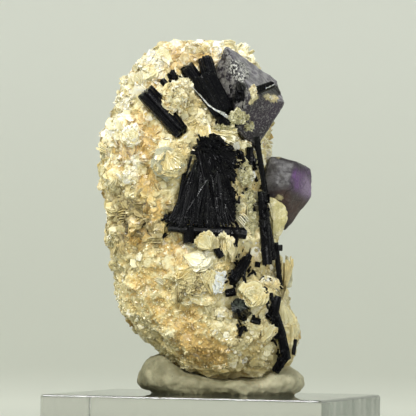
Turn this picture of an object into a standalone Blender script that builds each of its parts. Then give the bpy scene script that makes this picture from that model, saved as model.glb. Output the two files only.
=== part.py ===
"""Fluorite with schorl on a mica and feldspar stone, set in a pad of putty on a clear display block.

Lengths are written in millimetres and turned to metres when a mesh is made. +Z is up, the front of the
specimen faces -Y and +X is its right. The origin is the middle of the display block's underside.
"""

import math
import random
from collections import namedtuple

import bmesh
import bpy
from mathutils import Matrix, Vector, noise

MM = 0.001
GAP = 0.3
SEED = 11

# Display block
BLOCK_SIDE = 75.0
BLOCK_HEIGHT = 20.0
BLOCK_TURN = -14.0
BLOCK_CHAMFER = 0.6

# Putty pad
PAD_CENTRE = (1.6, 5.5)
PAD_HALF = (22.0, 16.5)
PAD_CORNER_POWER = 2.6
PAD_SEGMENTS = 32
PAD_RINGS = 12
PAD_DENT = 0.7
PAD_DENT_SPAN = 5.0
PAD_PROFILE_POWER = 0.25
PAD_FLAT = 0.6
PadStation = namedtuple("PadStation", "x top")
PAD_PROFILE = [
    PadStation(-20.4, 26.4),
    PadStation(-17.5, 30.2),
    PadStation(-14.6, 31.2),
    PadStation(-11.0, 27.6),
    PadStation(-7.0, 24.6),
    PadStation(2.0, 23.7),
    PadStation(12.5, 23.7),
    PadStation(16.0, 26.4),
    PadStation(19.5, 27.7),
    PadStation(23.6, 26.2),
]

# Stone: its left, right, front and back limits at each height
Section = namedtuple("Section", "height left right front back")
STONE_SECTIONS = [
    Section(23.2, 1.0, 5.0, 4.0, 8.0),
    Section(24.2, -5.5, 13.5, -4.0, 16.0),
    Section(26.0, -9.2, 16.5, -7.0, 19.5),
    Section(28.5, -12.0, 19.6, -9.5, 21.5),
    Section(31.3, -15.2, 21.4, -12.0, 23.0),
    Section(36.5, -21.2, 22.5, -14.5, 25.0),
    Section(41.2, -24.8, 21.6, -16.0, 26.5),
    Section(46.0, -26.5, 19.4, -17.0, 27.0),
    Section(51.0, -27.2, 17.2, -17.2, 27.0),
    Section(56.0, -27.8, 16.4, -17.0, 27.0),
    Section(61.0, -29.3, 15.4, -16.5, 26.5),
    Section(67.0, -29.8, 14.7, -16.0, 26.0),
    Section(75.0, -30.4, 13.9, -15.8, 25.0),
    Section(83.0, -30.9, 14.4, -15.5, 24.0),
    Section(90.0, -30.6, 14.6, -14.5, 23.0),
    Section(94.5, -27.8, 13.8, -13.5, 22.0),
    Section(100.0, -26.2, 12.8, -12.0, 21.0),
    Section(105.0, -24.0, 11.6, -10.5, 19.0),
    Section(109.0, -20.8, 9.8, -8.5, 16.5),
    Section(112.2, -18.6, 7.0, -5.5, 13.5),
    Section(114.0, -16.0, 4.6, -2.0, 10.0),
    Section(114.8, -9.0, 0.0, 2.0, 6.0),
]
STONE_CORNER_POWER = 2.4
STONE_SEGMENTS = 48
STONE_RINGS = 36
STONE_EVEN_RINGS = 0.62
BLOCK_SPAN = 8.5
BLOCK_RISE = 4.6
EDGE_CALM = 0.45
LUMP_SPAN = 14.0
LUMP_RISE = 1.2
GRAIN_SPAN = 2.8
GRAIN_RISE = 0.7

# Swellings and hollows of the stone's front: place, reach and rise
Swell = namedtuple("Swell", "x z reach rise")
STONE_SWELLS = [
    Swell(-12.0, 98.0, 6.5, 1.6),
    Swell(-13.5, 80.5, 8.0, 2.4),
    Swell(3.5, 94.0, 4.0, 1.0),
    Swell(-3.0, 78.0, 8.0, -2.6),
    Swell(-1.0, 68.0, 8.0, -2.2),
    Swell(-4.0, 50.5, 9.0, 2.2),
    Swell(7.5, 56.0, 4.5, -2.4),
    Swell(10.5, 46.6, 5.5, 1.8),
    Swell(-20.0, 60.0, 9.0, 1.2),
    Swell(2.0, 34.0, 9.0, 1.6),
]

# Mica books grown into the stone: how many of each size, and how far they lie from the surface
BookBand = namedtuple("BookBand", "count radius thickness low high")
GROWN_BOOKS = [
    BookBand(30, 4.2, 1.5, 48.0, 111.0),
    BookBand(22, 3.0, 1.3, 33.0, 108.0),
]
BOOK_SIDES = 6
BOOK_SINK = 0.1
BOOK_EDGE_SINK = 0.55
BOOK_LEAN = 0.6
BOOK_EDGE_LIMIT = 0.5

# Schorl: every prism runs from one end to the other, (x, z) on the stone's front, or (x, y, z) in space
Prism = namedtuple("Prism", "start end start_radius end_radius proud")
PRISM_SIDES = 6
SCHORL_LEFT = [Prism((-19.3, 99.4), (-9.7, 89.0), 2.3, 2.3, 1.2)]
SCHORL_TOP = [
    Prism((-8.9, 106.7), (2.4, 91.1), 2.0, 1.8, 1.3),
    Prism((-4.9, 105.6), (1.4, 94.4), 3.2, 3.0, 1.6),
    Prism((-3.9, 109.3), (-2.2, 103.1), 1.9, 1.9, 0.9),
]
SCHORL_SHEAF = [
    Prism((-1.9, 79.2), (-12.0, 64.8), 1.2, 1.5, 2.2),
    Prism((-1.9, 79.2), (-9.4, 64.4), 1.2, 1.7, 2.6),
    Prism((-1.7, 79.0), (-6.0, 64.2), 1.3, 1.9, 2.8),
    Prism((-1.6, 79.0), (-2.2, 64.2), 1.4, 2.0, 2.4),
    Prism((-1.6, 79.0), (1.5, 64.2), 1.3, 1.9, 2.0),
    Prism((-1.4, 79.0), (4.0, 66.8), 1.2, 1.7, 1.6),
    Prism((-1.6, 78.6), (4.4, 71.4), 1.2, 1.7, 1.5),
    Prism((-1.8, 78.2), (4.2, 74.8), 1.2, 1.7, 1.5),
    Prism((-4.4, 78.0), (-4.9, 86.4), 1.2, 1.2, 1.6),
    Prism((-4.4, 78.0), (-2.0, 88.0), 1.4, 1.6, 1.4),
    Prism((-4.6, 78.0), (0.4, 88.0), 1.4, 1.8, 1.7),
    Prism((-4.6, 78.0), (3.0, 86.0), 1.4, 1.9, 1.8),
    Prism((-4.6, 77.5), (4.3, 82.4), 1.4, 1.9, 1.7),
    Prism((-4.4, 77.0), (3.4, 78.2), 1.4, 1.8, 1.7),
    Prism((-12.9, 63.7), (7.6, 62.6), 1.1, 1.9, 2.8),
    Prism((-7.4, 64.5), (-7.3, 59.8), 1.9, 1.8, 1.6),
]
SCHORL_RIGHT = [
    Prism((10.0, -12.0, 88.4), (12.7, -9.6, 73.2), 0.7, 0.75, 0.0),
    Prism((11.6, -10.0, 74.0), (13.4, -10.6, 54.7), 1.25, 1.5, 0.0),
    Prism((12.9, -8.6, 68.0), (15.1, -9.0, 56.0), 0.7, 1.0, 0.0),
]
SCHORL_SIDE = [
    Prism((15.6, -7.4, 60.6), (17.0, -7.4, 48.2), 0.65, 0.7, 0.0),
    Prism((16.4, -9.2, 59.2), (16.2, -5.6, 59.4), 1.05, 1.05, 0.0),
]
SCHORL_BAND = [
    Prism((16.4, -11.2, 46.4), (14.6, -11.6, 40.6), 1.0, 1.7, 0.0),
    Prism((15.4, -11.4, 42.0), (17.6, -11.4, 35.6), 1.3, 1.3, 0.0),
    Prism((17.3, -11.4, 36.6), (18.8, -9.4, 29.8), 1.2, 1.3, 0.0),
    Prism((18.7, -9.6, 30.8), (15.9, -6.6, 26.6), 1.3, 1.0, 0.0),
]
SCHORL_END_ON = [Prism((5.9, -20.4, 43.8), (7.4, -13.6, 42.2), 2.35, 2.35, 0.0)]
SCHORL_RECESS = [
    Prism((8.0, 56.0), (4.3, 50.2), 1.5, 1.5, 0.8),
    Prism((8.6, 57.2), (7.4, 54.6), 0.95, 0.95, 1.9),
]
SCHORL_IN_FLUORITE = Prism((9.2, -17.2, 100.2), (14.8, -12.6, 102.4), 1.1, 1.1, 0.0)
SCHORL_SMALL = [
    Prism((-15.2, 103.0), (-13.6, 101.2), 0.9, 0.9, 0.3),
    Prism((-12.6, 105.4), (-11.2, 103.4), 0.9, 0.9, 0.3),
    Prism((8.3, 85.6), (8.4, 80.8), 0.95, 0.9, 0.5),
    Prism((7.4, 74.9), (9.9, 68.4), 0.45, 0.45, 0.3),
    Prism((0.2, 58.9), (1.5, 56.5), 1.25, 1.1, 0.5),
    Prism((2.4, 46.9), (5.0, 47.4), 1.0, 1.1, 0.5),
    Prism((10.9, 55.4), (10.7, 54.0), 0.75, 0.75, 0.5),
    Prism((12.2, 51.0), (14.6, 50.3), 0.75, 0.75, 0.4),
    Prism((9.3, 40.2), (11.6, 39.5), 0.85, 1.0, 0.6),
    Prism((7.2, 38.3), (6.2, 35.7), 0.6, 0.6, 0.3),
    Prism((11.4, 38.8), (12.3, 36.0), 0.5, 0.5, 0.3),
    Prism((21.3, -2.4, 35.0), (20.8, -3.2, 30.9), 0.5, 0.5, 0.0),
]

# Fluorite: the corners of each crystal
FLUORITE_UPPER = {
    (-1, -1, -1): (8.5, -20.0, 99.5),
    (-1, -1, 1): (1.0, -9.0, 113.6),
    (1, -1, 1): (15.6, -1.0, 104.2),
    (1, -1, -1): (17.9, -7.0, 97.2),
    (-1, 1, -1): (4.6, -15.0, 89.6),
    (1, 1, -1): (10.0, -9.0, 84.2),
    (-1, 1, 1): (-3.5, -6.0, 101.3),
    (1, 1, 1): (8.3, 8.0, 98.9),
}
FLUORITE_UPPER_BEVEL = 0.9
FLUORITE_LOWER = {
    (-1, -1, 1): (11.0, -5.0, 74.5),
    (1, -1, 1): (19.1, -9.2, 75.3),
    (-1, 1, 1): (13.4, -4.0, 84.3),
    (1, 1, 1): (20.9, -6.0, 82.2),
    (1, -1, -1): (25.6, -1.0, 72.8),
    (1, 1, -1): (25.3, 0.5, 80.9),
    (-1, -1, -1): (17.9, 0.0, 62.6),
    (-1, 1, -1): (13.6, 10.0, 72.2),
}
FLUORITE_LOWER_BEVEL = 0.8
POCKET_SCALE = 1.06

# Mica crystals large enough to stand out: outline on the front, how far forward, thickness and lean
Plate = namedtuple("Plate", "outline forward thickness lean_right lean_up")
MICA_PLATES = {
    "mica_leaf_right": Plate(
        [(11.9, 73.6), (13.8, 73.2), (16.3, 72.0), (17.9, 70.7), (18.9, 69.0), (18.8, 67.2), (18.0, 64.2),
         (17.0, 61.8), (16.0, 60.9), (14.7, 61.6), (14.6, 66.0), (13.4, 70.4)],
        -6.6, 1.6, 14.0, 4.0),
    "mica_book_right": Plate(
        [(17.9, 57.4), (18.9, 56.6), (19.7, 53.4), (20.1, 50.6), (19.7, 48.6), (18.1, 48.2), (17.9, 50.0)],
        -4.4, 2.4, 10.0, 0.0),
    "mica_book_round": Plate(
        [(5.3, 48.2), (7.2, 50.6), (9.6, 51.0), (12.0, 50.2), (14.6, 46.6), (13.2, 42.8), (10.2, 40.9),
         (8.9, 41.6), (9.2, 44.8)],
        -18.4, 2.6, 8.0, 6.0),
    "mica_fan_left": Plate(
        [(-6.2, 60.9), (-4.4, 62.9), (-2.0, 63.2), (0.4, 61.0), (0.3, 58.6), (-2.4, 57.6), (-4.8, 58.8)],
        -18.6, 1.3, -6.0, 10.0),
    "mica_fan_right": Plate(
        [(2.2, 61.6), (3.9, 62.4), (5.3, 61.0), (5.2, 58.0), (4.2, 54.6), (2.9, 57.2)],
        -18.4, 1.3, 6.0, 4.0),
    "mica_rosette_left": Plate(
        [(-18.4, 80.6), (-17.0, 84.6), (-13.6, 85.4), (-9.6, 83.4), (-7.8, 80.4), (-9.4, 76.6), (-13.0, 75.4),
         (-16.6, 77.0)],
        -18.2, 2.6, -8.0, 8.0),
    "mica_blade_white": Plate(
        [(-0.8, 53.4), (2.8, 52.6), (3.2, 49.0), (1.8, 46.4), (-0.6, 46.0), (-2.2, 49.6)],
        -20.0, 1.4, 6.0, -6.0),
}

# Colours as the photo shows them: base colour, metallic, roughness
Finish = namedtuple("Finish", "colour metallic roughness")
FINISHES = {
    "matrix": Finish((0.72, 0.64, 0.44), 0.0, 0.6),
    "schorl": Finish((0.012, 0.012, 0.014), 0.0, 0.3),
    "fluorite": Finish((0.16, 0.11, 0.19), 0.0, 0.25),
    "mica": Finish((0.62, 0.55, 0.30), 0.0, 0.35),
    "putty": Finish((0.36, 0.33, 0.25), 0.0, 0.8),
    "acrylic": Finish((0.80, 0.84, 0.80), 0.0, 0.03),
}


def clear_scene():
    """Remove what the file opened with."""
    for obj in list(bpy.data.objects):
        bpy.data.objects.remove(obj, do_unlink=True)


def make_collection(name, parent):
    """A new collection under the parent."""
    made = bpy.data.collections.new(name)
    parent.children.link(made)
    return made


def make_materials():
    """One Principled material for each kind of matter."""
    made = {}
    for name, finish in FINISHES.items():
        material = bpy.data.materials.new(name)
        material.use_nodes = True
        shader = material.node_tree.nodes["Principled BSDF"]
        shader.inputs["Base Color"].default_value = (*finish.colour, 1.0)
        shader.inputs["Metallic"].default_value = finish.metallic
        shader.inputs["Roughness"].default_value = finish.roughness
        made[name] = material
    return made


def between(value, low, high):
    """How far value is from low to high, held between 0 and 1."""
    return min(1.0, max(0.0, (value - low) / (high - low)))


def section_at(height):
    """The stone's section at a height, read between the given ones."""
    for below, above in zip(STONE_SECTIONS, STONE_SECTIONS[1:]):
        if height <= above.height:
            step = between(height, below.height, above.height)
            return Section(*[a + (b - a) * step for a, b in zip(below, above)])
    return STONE_SECTIONS[-1]


def swell_at(x, z):
    """How far the front is raised or hollowed at a place."""
    total = 0.0
    for swell in STONE_SWELLS:
        away = math.hypot(x - swell.x, z - swell.z) / swell.reach
        total += swell.rise * math.exp(-2.0 * away * away)
    return total


def stone_point(height, angle):
    """A point of the smooth stone at a height, and the way out from there."""
    section = section_at(height)
    centre = Vector(((section.left + section.right) / 2, (section.front + section.back) / 2, height))
    half_x = (section.right - section.left) / 2
    half_y = (section.back - section.front) / 2
    power = 2.0 / STONE_CORNER_POWER
    cosine, sine = math.cos(angle), math.sin(angle)
    out = Vector((
        half_x * math.copysign(abs(cosine) ** power, cosine),
        half_y * math.copysign(abs(sine) ** power, sine),
        0.0,
    ))
    return centre + out, Vector((cosine * half_y, sine * half_x, 0.0)).normalized()


def front_surface(x, z):
    """The y of the stone's front at a place seen from the front."""
    section = section_at(z)
    half_x = (section.right - section.left) / 2
    half_y = (section.back - section.front) / 2
    across = min(0.95, abs(x - (section.left + section.right) / 2) / half_x)
    reach = (1.0 - across ** STONE_CORNER_POWER) ** (1.0 / STONE_CORNER_POWER)
    return (section.front + section.back) / 2 - half_y * reach - swell_at(x, z)


def raised_by(point, out):
    """How far the stone's skin stands out at a point: broken blocks, lumps, grains and swellings."""
    nearest = noise.voronoi(point / BLOCK_SPAN)[0]
    calm = EDGE_CALM + (1.0 - EDGE_CALM) * abs(out.y)
    blocks = (0.45 - nearest[0]) * BLOCK_RISE * calm
    lumps = noise.noise(point / LUMP_SPAN) * LUMP_RISE * calm
    grains = noise.noise(point / GRAIN_SPAN) * GRAIN_RISE
    return blocks + lumps + grains + swell_at(point.x, point.z) * max(0.0, -out.y)


def mesh_object(name, bm, collection, material):
    """An object from a mesh drawn in millimetres."""
    bmesh.ops.scale(bm, vec=(MM, MM, MM), verts=bm.verts)
    bmesh.ops.recalc_face_normals(bm, faces=bm.faces)
    mesh = bpy.data.meshes.new(name)
    bm.to_mesh(mesh)
    bm.free()
    mesh.materials.append(material)
    made = bpy.data.objects.new(name, mesh)
    collection.objects.link(made)
    return made


def hide_cutters(collection):
    """Show the cutters as wires only, and keep them out of pictures."""
    for obj in collection.all_objects:
        obj.hide_render = True
        obj.display_type = "WIRE"


def add_boolean(obj, operation, collection):
    """Join the objects of a collection to obj, or cut them from it."""
    step = obj.modifiers.new(operation.lower(), "BOOLEAN")
    step.operation = operation
    step.operand_type = "COLLECTION"
    step.collection = collection
    step.solver = "EXACT"
    return step


def add_bevel(obj, width):
    """Break the edges of a faceted piece."""
    step = obj.modifiers.new("bevel", "BEVEL")
    step.width = width * MM
    step.segments = 1
    step.limit_method = "ANGLE"


def ring_height(level):
    """Height of a ring of the stone, level running from -1 at the bottom to 1 at the top."""
    share = math.acos(max(-1.0, min(1.0, level))) / math.pi
    even = 1.0 - 2.0 * share
    mixed = STONE_EVEN_RINGS * even + (1.0 - STONE_EVEN_RINGS) * level
    low, high = STONE_SECTIONS[0].height, STONE_SECTIONS[-1].height
    return low + (high - low) * (mixed + 1.0) / 2.0


def stone_mesh(grow):
    """The stone's lumpy body, grown outward by a distance."""
    bm = bmesh.new()
    bmesh.ops.create_uvsphere(bm, u_segments=STONE_SEGMENTS, v_segments=STONE_RINGS, radius=1.0)
    for vert in bm.verts:
        height = ring_height(vert.co.z)
        angle = math.atan2(vert.co.y, vert.co.x)
        is_pole = abs(vert.co.z) > 0.9999
        point, out = stone_point(height, angle)
        if is_pole:
            section = section_at(height)
            point = Vector(((section.left + section.right) / 2, (section.front + section.back) / 2, height))
            out = Vector((0.0, 0.0, math.copysign(1.0, vert.co.z)))
        elif abs(vert.co.z) > 0.9:
            out = (out + Vector((0.0, 0.0, vert.co.z * 1.5))).normalized()
        vert.co = point + out * (raised_by(point, out) + grow)
    bmesh.ops.triangulate(bm, faces=bm.faces)
    return bm


def prism_ends(prism, extra):
    """Both ends of a prism in space, each moved outward along it by a distance."""
    ends = []
    for place in (prism.start, prism.end):
        if len(place) == 2:
            x, z = place
            ends.append(Vector((x, front_surface(x, z) - prism.proud, z)))
        else:
            ends.append(Vector(place))
    along = (ends[1] - ends[0]).normalized()
    return ends[0] - along * extra, ends[1] + along * extra


def prism_mesh(prism, grow):
    """A six-sided prism between its two ends."""
    start, end = prism_ends(prism, grow)
    wider = grow / math.cos(math.pi / PRISM_SIDES)
    turn = (end - start).to_track_quat("Z", "Y").to_matrix().to_4x4()
    bm = bmesh.new()
    bmesh.ops.create_cone(
        bm, cap_ends=True, cap_tris=False, segments=PRISM_SIDES, radius1=prism.start_radius + wider,
        radius2=prism.end_radius + wider, depth=(end - start).length,
        matrix=Matrix.Translation((start + end) / 2) @ turn)
    return bm


def make_schorl(name, prisms, parts, cutters, materials):
    """Prisms grown through each other, joined in one solid, and the cutters of their pockets."""
    crystal = mesh_object(name, prism_mesh(prisms[0], 0.0), parts, materials["schorl"])
    if len(prisms) > 1:
        others = make_collection(name + " growths", cutters)
        for count, prism in enumerate(prisms[1:]):
            mesh_object(f"{name} prism {count}", prism_mesh(prism, 0.0), others, materials["schorl"])
        add_boolean(crystal, "UNION", others)
    pocket = make_collection(name + " pocket", cutters)
    for count, prism in enumerate(prisms):
        mesh_object(f"{name} pocket {count}", prism_mesh(prism, GAP), pocket, materials["schorl"])
    return crystal, pocket


def fluorite_mesh(corners, scale):
    """A fluorite crystal: a cube whose corners are moved to theirs, scaled about their middle."""
    middle = sum((Vector(place) for place in corners.values()), Vector()) / len(corners)
    bm = bmesh.new()
    bmesh.ops.create_cube(bm, size=2.0)
    for vert in bm.verts:
        side = tuple(int(math.copysign(1, value)) for value in vert.co)
        vert.co = middle + (Vector(corners[side]) - middle) * scale
    bmesh.ops.triangulate(bm, faces=bm.faces)
    return bm


def make_fluorite(name, corners, bevel, parts, cutters, materials):
    """A fluorite crystal with worn edges, and the cutter of its pocket."""
    crystal = mesh_object(name, fluorite_mesh(corners, 1.0), parts, materials["fluorite"])
    add_bevel(crystal, bevel)
    pocket = make_collection(name + " pocket", cutters)
    mesh_object(name + " pocket", fluorite_mesh(corners, POCKET_SCALE), pocket, materials["fluorite"])
    return crystal, pocket


def plate_mesh(plate, grow):
    """A flat crystal with the plate's outline, leaning back from the front."""
    middle_x = sum(x for x, _ in plate.outline) / len(plate.outline)
    middle_z = sum(z for _, z in plate.outline) / len(plate.outline)
    half = plate.thickness / 2 + grow
    bm = bmesh.new()
    verts = []
    for x, z in plate.outline:
        flat = Vector((x - middle_x, 0.0, z - middle_z))
        verts.append(bm.verts.new(flat + flat.normalized() * grow * 1.6 + Vector((0.0, -half, 0.0))))
    front = bm.faces.new(verts)
    moved = bmesh.ops.extrude_face_region(bm, geom=[front])["geom"]
    back = [item for item in moved if isinstance(item, bmesh.types.BMVert)]
    bmesh.ops.translate(bm, vec=(0.0, 2 * half, 0.0), verts=back)
    lean = Matrix.Rotation(math.radians(plate.lean_right), 4, "Z")
    lean = lean @ Matrix.Rotation(math.radians(plate.lean_up), 4, "X")
    bmesh.ops.transform(bm, matrix=Matrix.Translation((middle_x, plate.forward, middle_z)) @ lean,
                        verts=bm.verts)
    bmesh.ops.triangulate(bm, faces=bm.faces)
    return bm


def make_plate(name, plate, parts, cutters, materials):
    """A large mica crystal and the cutter of its pocket."""
    crystal = mesh_object(name, plate_mesh(plate, 0.0), parts, materials["mica"])
    pocket = make_collection(name + " pocket", cutters)
    mesh_object(name + " pocket", plate_mesh(plate, GAP), pocket, materials["mica"])
    return crystal, pocket


def book_mesh(middle, out, radius, thickness, spin, chance):
    """A six-sided mica book leaning from the way out of the stone."""
    lean = Vector([chance.uniform(-BOOK_LEAN, BOOK_LEAN) for _ in range(3)])
    turn = (out + lean).to_track_quat("Z", "Y").to_matrix().to_4x4()
    bm = bmesh.new()
    bmesh.ops.create_cone(
        bm, cap_ends=True, segments=BOOK_SIDES, radius1=radius, radius2=radius, depth=thickness,
        matrix=Matrix.Translation(middle) @ turn @ Matrix.Rotation(spin, 4, "Z"))
    return bm


def make_books(collection, material):
    """Mica books all round the stone, for joining to it."""
    chance = random.Random(SEED)
    for band in GROWN_BOOKS:
        for count in range(band.count):
            height = band.low + (band.high - band.low) * (count + chance.random()) / band.count
            angle = chance.uniform(0.0, 2.0 * math.pi)
            point, out = stone_point(height, angle)
            size = band.radius * chance.uniform(0.7, 1.15)
            at_edge = abs(out.y) < BOOK_EDGE_LIMIT
            sink = size * (BOOK_EDGE_SINK if at_edge else BOOK_SINK)
            middle = point + out * (raised_by(point, out) - sink)
            bm = book_mesh(middle, out, size, band.thickness, chance.uniform(0.0, 1.0), chance)
            mesh_object(f"book {band.radius} {count}", bm, collection, material)


def pad_top(x):
    """The height of the pad's top at x."""
    for near, far in zip(PAD_PROFILE, PAD_PROFILE[1:]):
        if x <= far.x:
            step = between(x, near.x, far.x)
            smooth = step * step * (3.0 - 2.0 * step)
            return near.top + (far.top - near.top) * smooth
    return PAD_PROFILE[-1].top


def pad_mesh():
    """The putty pad before the stone's bed is pressed in it."""
    bm = bmesh.new()
    bmesh.ops.create_uvsphere(bm, u_segments=PAD_SEGMENTS, v_segments=PAD_RINGS, radius=1.0)
    power = 2.0 / PAD_CORNER_POWER
    bottom = BLOCK_HEIGHT + GAP
    for vert in bm.verts:
        level = vert.co.z
        angle = math.atan2(vert.co.y, vert.co.x)
        ring = max(0.0, 1.0 - level * level) ** PAD_PROFILE_POWER
        cosine, sine = math.cos(angle), math.sin(angle)
        x = PAD_CENTRE[0] + PAD_HALF[0] * ring * math.copysign(abs(cosine) ** power, cosine)
        y = PAD_CENTRE[1] + PAD_HALF[1] * ring * math.copysign(abs(sine) ** power, sine)
        full = pad_top(x) - bottom
        share = 0.5 + 0.5 * math.copysign(abs(level) ** (2 * PAD_PROFILE_POWER), level)
        dent = noise.noise(Vector((x, y, full * share)) / PAD_DENT_SPAN) * PAD_DENT
        rise = (full + PAD_FLAT) * share - PAD_FLAT
        height = rise + dent * between(rise, 0.0, 2.0)
        vert.co = Vector((x, y, bottom + max(0.0, height)))
    bmesh.ops.triangulate(bm, faces=bm.faces)
    return bm


def block_mesh():
    """The square display block."""
    bm = bmesh.new()
    bmesh.ops.create_cube(bm, size=1.0)
    bmesh.ops.scale(bm, vec=(BLOCK_SIDE, BLOCK_SIDE, BLOCK_HEIGHT), verts=bm.verts)
    bmesh.ops.rotate(bm, cent=(0, 0, 0), matrix=Matrix.Rotation(math.radians(BLOCK_TURN), 3, "Z"),
                     verts=bm.verts)
    bmesh.ops.translate(bm, vec=(0, 0, BLOCK_HEIGHT / 2), verts=bm.verts)
    return bm


def make_specimen():
    """Build every piece: first the crystals, then what they are set in."""
    scene_root = bpy.context.scene.collection
    parts = make_collection("fluorite_with_schorl_specimen", scene_root)
    cutters = make_collection("cutters", scene_root)
    materials = make_materials()

    upper, upper_pocket = make_fluorite(
        "fluorite_upper", FLUORITE_UPPER, FLUORITE_UPPER_BEVEL, parts, cutters, materials)
    lower, lower_pocket = make_fluorite(
        "fluorite_lower", FLUORITE_LOWER, FLUORITE_LOWER_BEVEL, parts, cutters, materials)

    groups = {
        "schorl_left_prism": SCHORL_LEFT,
        "schorl_top_cluster": SCHORL_TOP,
        "schorl_sheaf": SCHORL_SHEAF,
        "schorl_right_rods": SCHORL_RIGHT,
        "schorl_side_rod": SCHORL_SIDE,
        "schorl_lower_band": SCHORL_BAND,
        "schorl_end_on": SCHORL_END_ON,
        "schorl_recess": SCHORL_RECESS,
    }
    for count, prism in enumerate(SCHORL_SMALL):
        groups[f"schorl_small_{count + 1:02d}"] = [prism]
    inside, inside_pocket = make_schorl(
        "schorl_in_fluorite", [SCHORL_IN_FLUORITE], parts, cutters, materials)
    add_boolean(upper, "DIFFERENCE", inside_pocket)

    schorl_pockets = []
    for name, prisms in groups.items():
        crystal, pocket = make_schorl(name, prisms, parts, cutters, materials)
        if name == "schorl_top_cluster":
            add_boolean(upper, "DIFFERENCE", pocket)
        else:
            add_boolean(crystal, "DIFFERENCE", upper_pocket)
        add_boolean(crystal, "DIFFERENCE", lower_pocket)
        schorl_pockets.append(pocket)

    plate_pockets = []
    for name, plate in MICA_PLATES.items():
        crystal, pocket = make_plate(name, plate, parts, cutters, materials)
        for other in (upper_pocket, lower_pocket, *schorl_pockets):
            add_boolean(crystal, "DIFFERENCE", other)
        plate_pockets.append(pocket)

    matrix = mesh_object("matrix", stone_mesh(0.0), parts, materials["matrix"])
    books = make_collection("grown mica books", cutters)
    make_books(books, materials["mica"])
    add_boolean(matrix, "UNION", books)
    for pocket in (upper_pocket, lower_pocket, inside_pocket, *schorl_pockets, *plate_pockets):
        add_boolean(matrix, "DIFFERENCE", pocket)

    pad = mesh_object("putty_pad", pad_mesh(), parts, materials["putty"])
    bed = make_collection("putty bed", cutters)
    mesh_object("stone bed", stone_mesh(GAP * 1.4), bed, materials["putty"])
    add_boolean(pad, "DIFFERENCE", bed)

    block = mesh_object("display_block", block_mesh(), parts, materials["acrylic"])
    add_bevel(block, BLOCK_CHAMFER)
    hide_cutters(cutters)


clear_scene()
make_specimen()
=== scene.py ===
"""Looks of a fluorite with schorl specimen: mica stone, black prisms, worn purple crystals, putty and clear block.

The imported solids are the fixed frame. Lengths below are in millimetres unless a name says otherwise, and are turned
to metres where a mesh is made. Angles are in radians unless they are called degrees. The front of the specimen faces
-Y, and every random draw is seeded.
"""
import logging
import math
from collections.abc import Callable
from dataclasses import dataclass
from enum import Enum

import bpy
import numpy as np
from mathutils import Matrix, Vector
from mathutils.bvhtree import BVHTree


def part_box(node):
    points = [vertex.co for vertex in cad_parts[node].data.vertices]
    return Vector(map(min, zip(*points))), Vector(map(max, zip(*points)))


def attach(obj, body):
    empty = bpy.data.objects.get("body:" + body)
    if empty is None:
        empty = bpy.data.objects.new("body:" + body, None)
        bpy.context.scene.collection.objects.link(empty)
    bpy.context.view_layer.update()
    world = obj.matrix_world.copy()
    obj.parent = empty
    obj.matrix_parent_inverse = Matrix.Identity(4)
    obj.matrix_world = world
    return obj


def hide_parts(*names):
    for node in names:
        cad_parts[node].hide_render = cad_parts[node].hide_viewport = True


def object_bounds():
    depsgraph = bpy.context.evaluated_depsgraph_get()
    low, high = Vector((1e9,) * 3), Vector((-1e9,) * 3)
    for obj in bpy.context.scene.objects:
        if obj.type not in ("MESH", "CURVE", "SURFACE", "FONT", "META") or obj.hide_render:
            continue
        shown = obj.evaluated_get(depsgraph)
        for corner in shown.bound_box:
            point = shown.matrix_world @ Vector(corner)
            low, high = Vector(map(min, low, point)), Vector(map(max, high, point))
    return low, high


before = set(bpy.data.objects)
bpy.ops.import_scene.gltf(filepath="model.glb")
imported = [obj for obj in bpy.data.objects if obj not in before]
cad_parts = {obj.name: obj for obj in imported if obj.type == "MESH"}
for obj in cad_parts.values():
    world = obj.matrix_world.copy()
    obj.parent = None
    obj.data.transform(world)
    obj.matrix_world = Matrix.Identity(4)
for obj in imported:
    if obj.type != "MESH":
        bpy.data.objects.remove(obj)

CAD_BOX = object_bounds()
MM = 0.001
PHOTO_WIDTH_PX = 416
SENSOR_MM = 36.0
SEED = 20
SPIN_RANGE = 6.28
PHASE_RANGE = 6.3
SAME_POINT = 0.01
IN_FRONT = -60.0
LOG = logging.getLogger("specimen")

Colour = tuple[float, float, float]
Place2 = tuple[float, float]
Place3 = tuple[float, float, float]


class Draw(Enum):
    """What each stream of random draws is for, with the number that is added to the seed."""

    SHEAF = 5
    FANS = 30
    TUFTS = 31
    CLUMPS = 32
    SHELLS = 33
    CHIPS = 40

    def stream(self) -> np.random.Generator:
        """A fresh stream of draws."""
        return np.random.default_rng(SEED + self.value)


# Working with objects in the scene

def deselect_all() -> None:
    """Leave nothing selected in object mode."""
    if bpy.context.object and bpy.context.object.mode != "OBJECT":
        bpy.ops.object.mode_set(mode="OBJECT")
    bpy.ops.object.select_all(action="DESELECT")


def make_active(obj: bpy.types.Object) -> None:
    """Select one object alone and make it active."""
    deselect_all()
    obj.select_set(True)
    bpy.context.view_layer.objects.active = obj


def apply_modifiers(obj: bpy.types.Object) -> None:
    """Apply every modifier of an object, in order."""
    make_active(obj)
    for step in list(obj.modifiers):
        bpy.ops.object.modifier_apply(modifier=step.name)


def add_modifier(obj: bpy.types.Object, kind: str, **settings: object) -> None:
    """Add a modifier and give it its settings, in order."""
    step = obj.modifiers.new(kind.lower(), kind)
    for key, value in settings.items():
        setattr(step, key, value)


def displace(obj: bpy.types.Object, kind: str, span: float, rise: float, middle: float) -> None:
    """Add a displacement by a texture.

    Args:
        obj: The object.
        kind: The texture's type, such as clouds.
        span: The size of its lumps, in millimetres.
        rise: How far white stands above black, in millimetres.
        middle: The grey that stays in place.
    """
    texture = bpy.data.textures.new(f"{kind.lower()} {span}", kind)
    texture.noise_scale = span * MM
    add_modifier(obj, "DISPLACE", texture=texture, texture_coords="LOCAL", strength=rise * MM, mid_level=middle)


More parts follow.
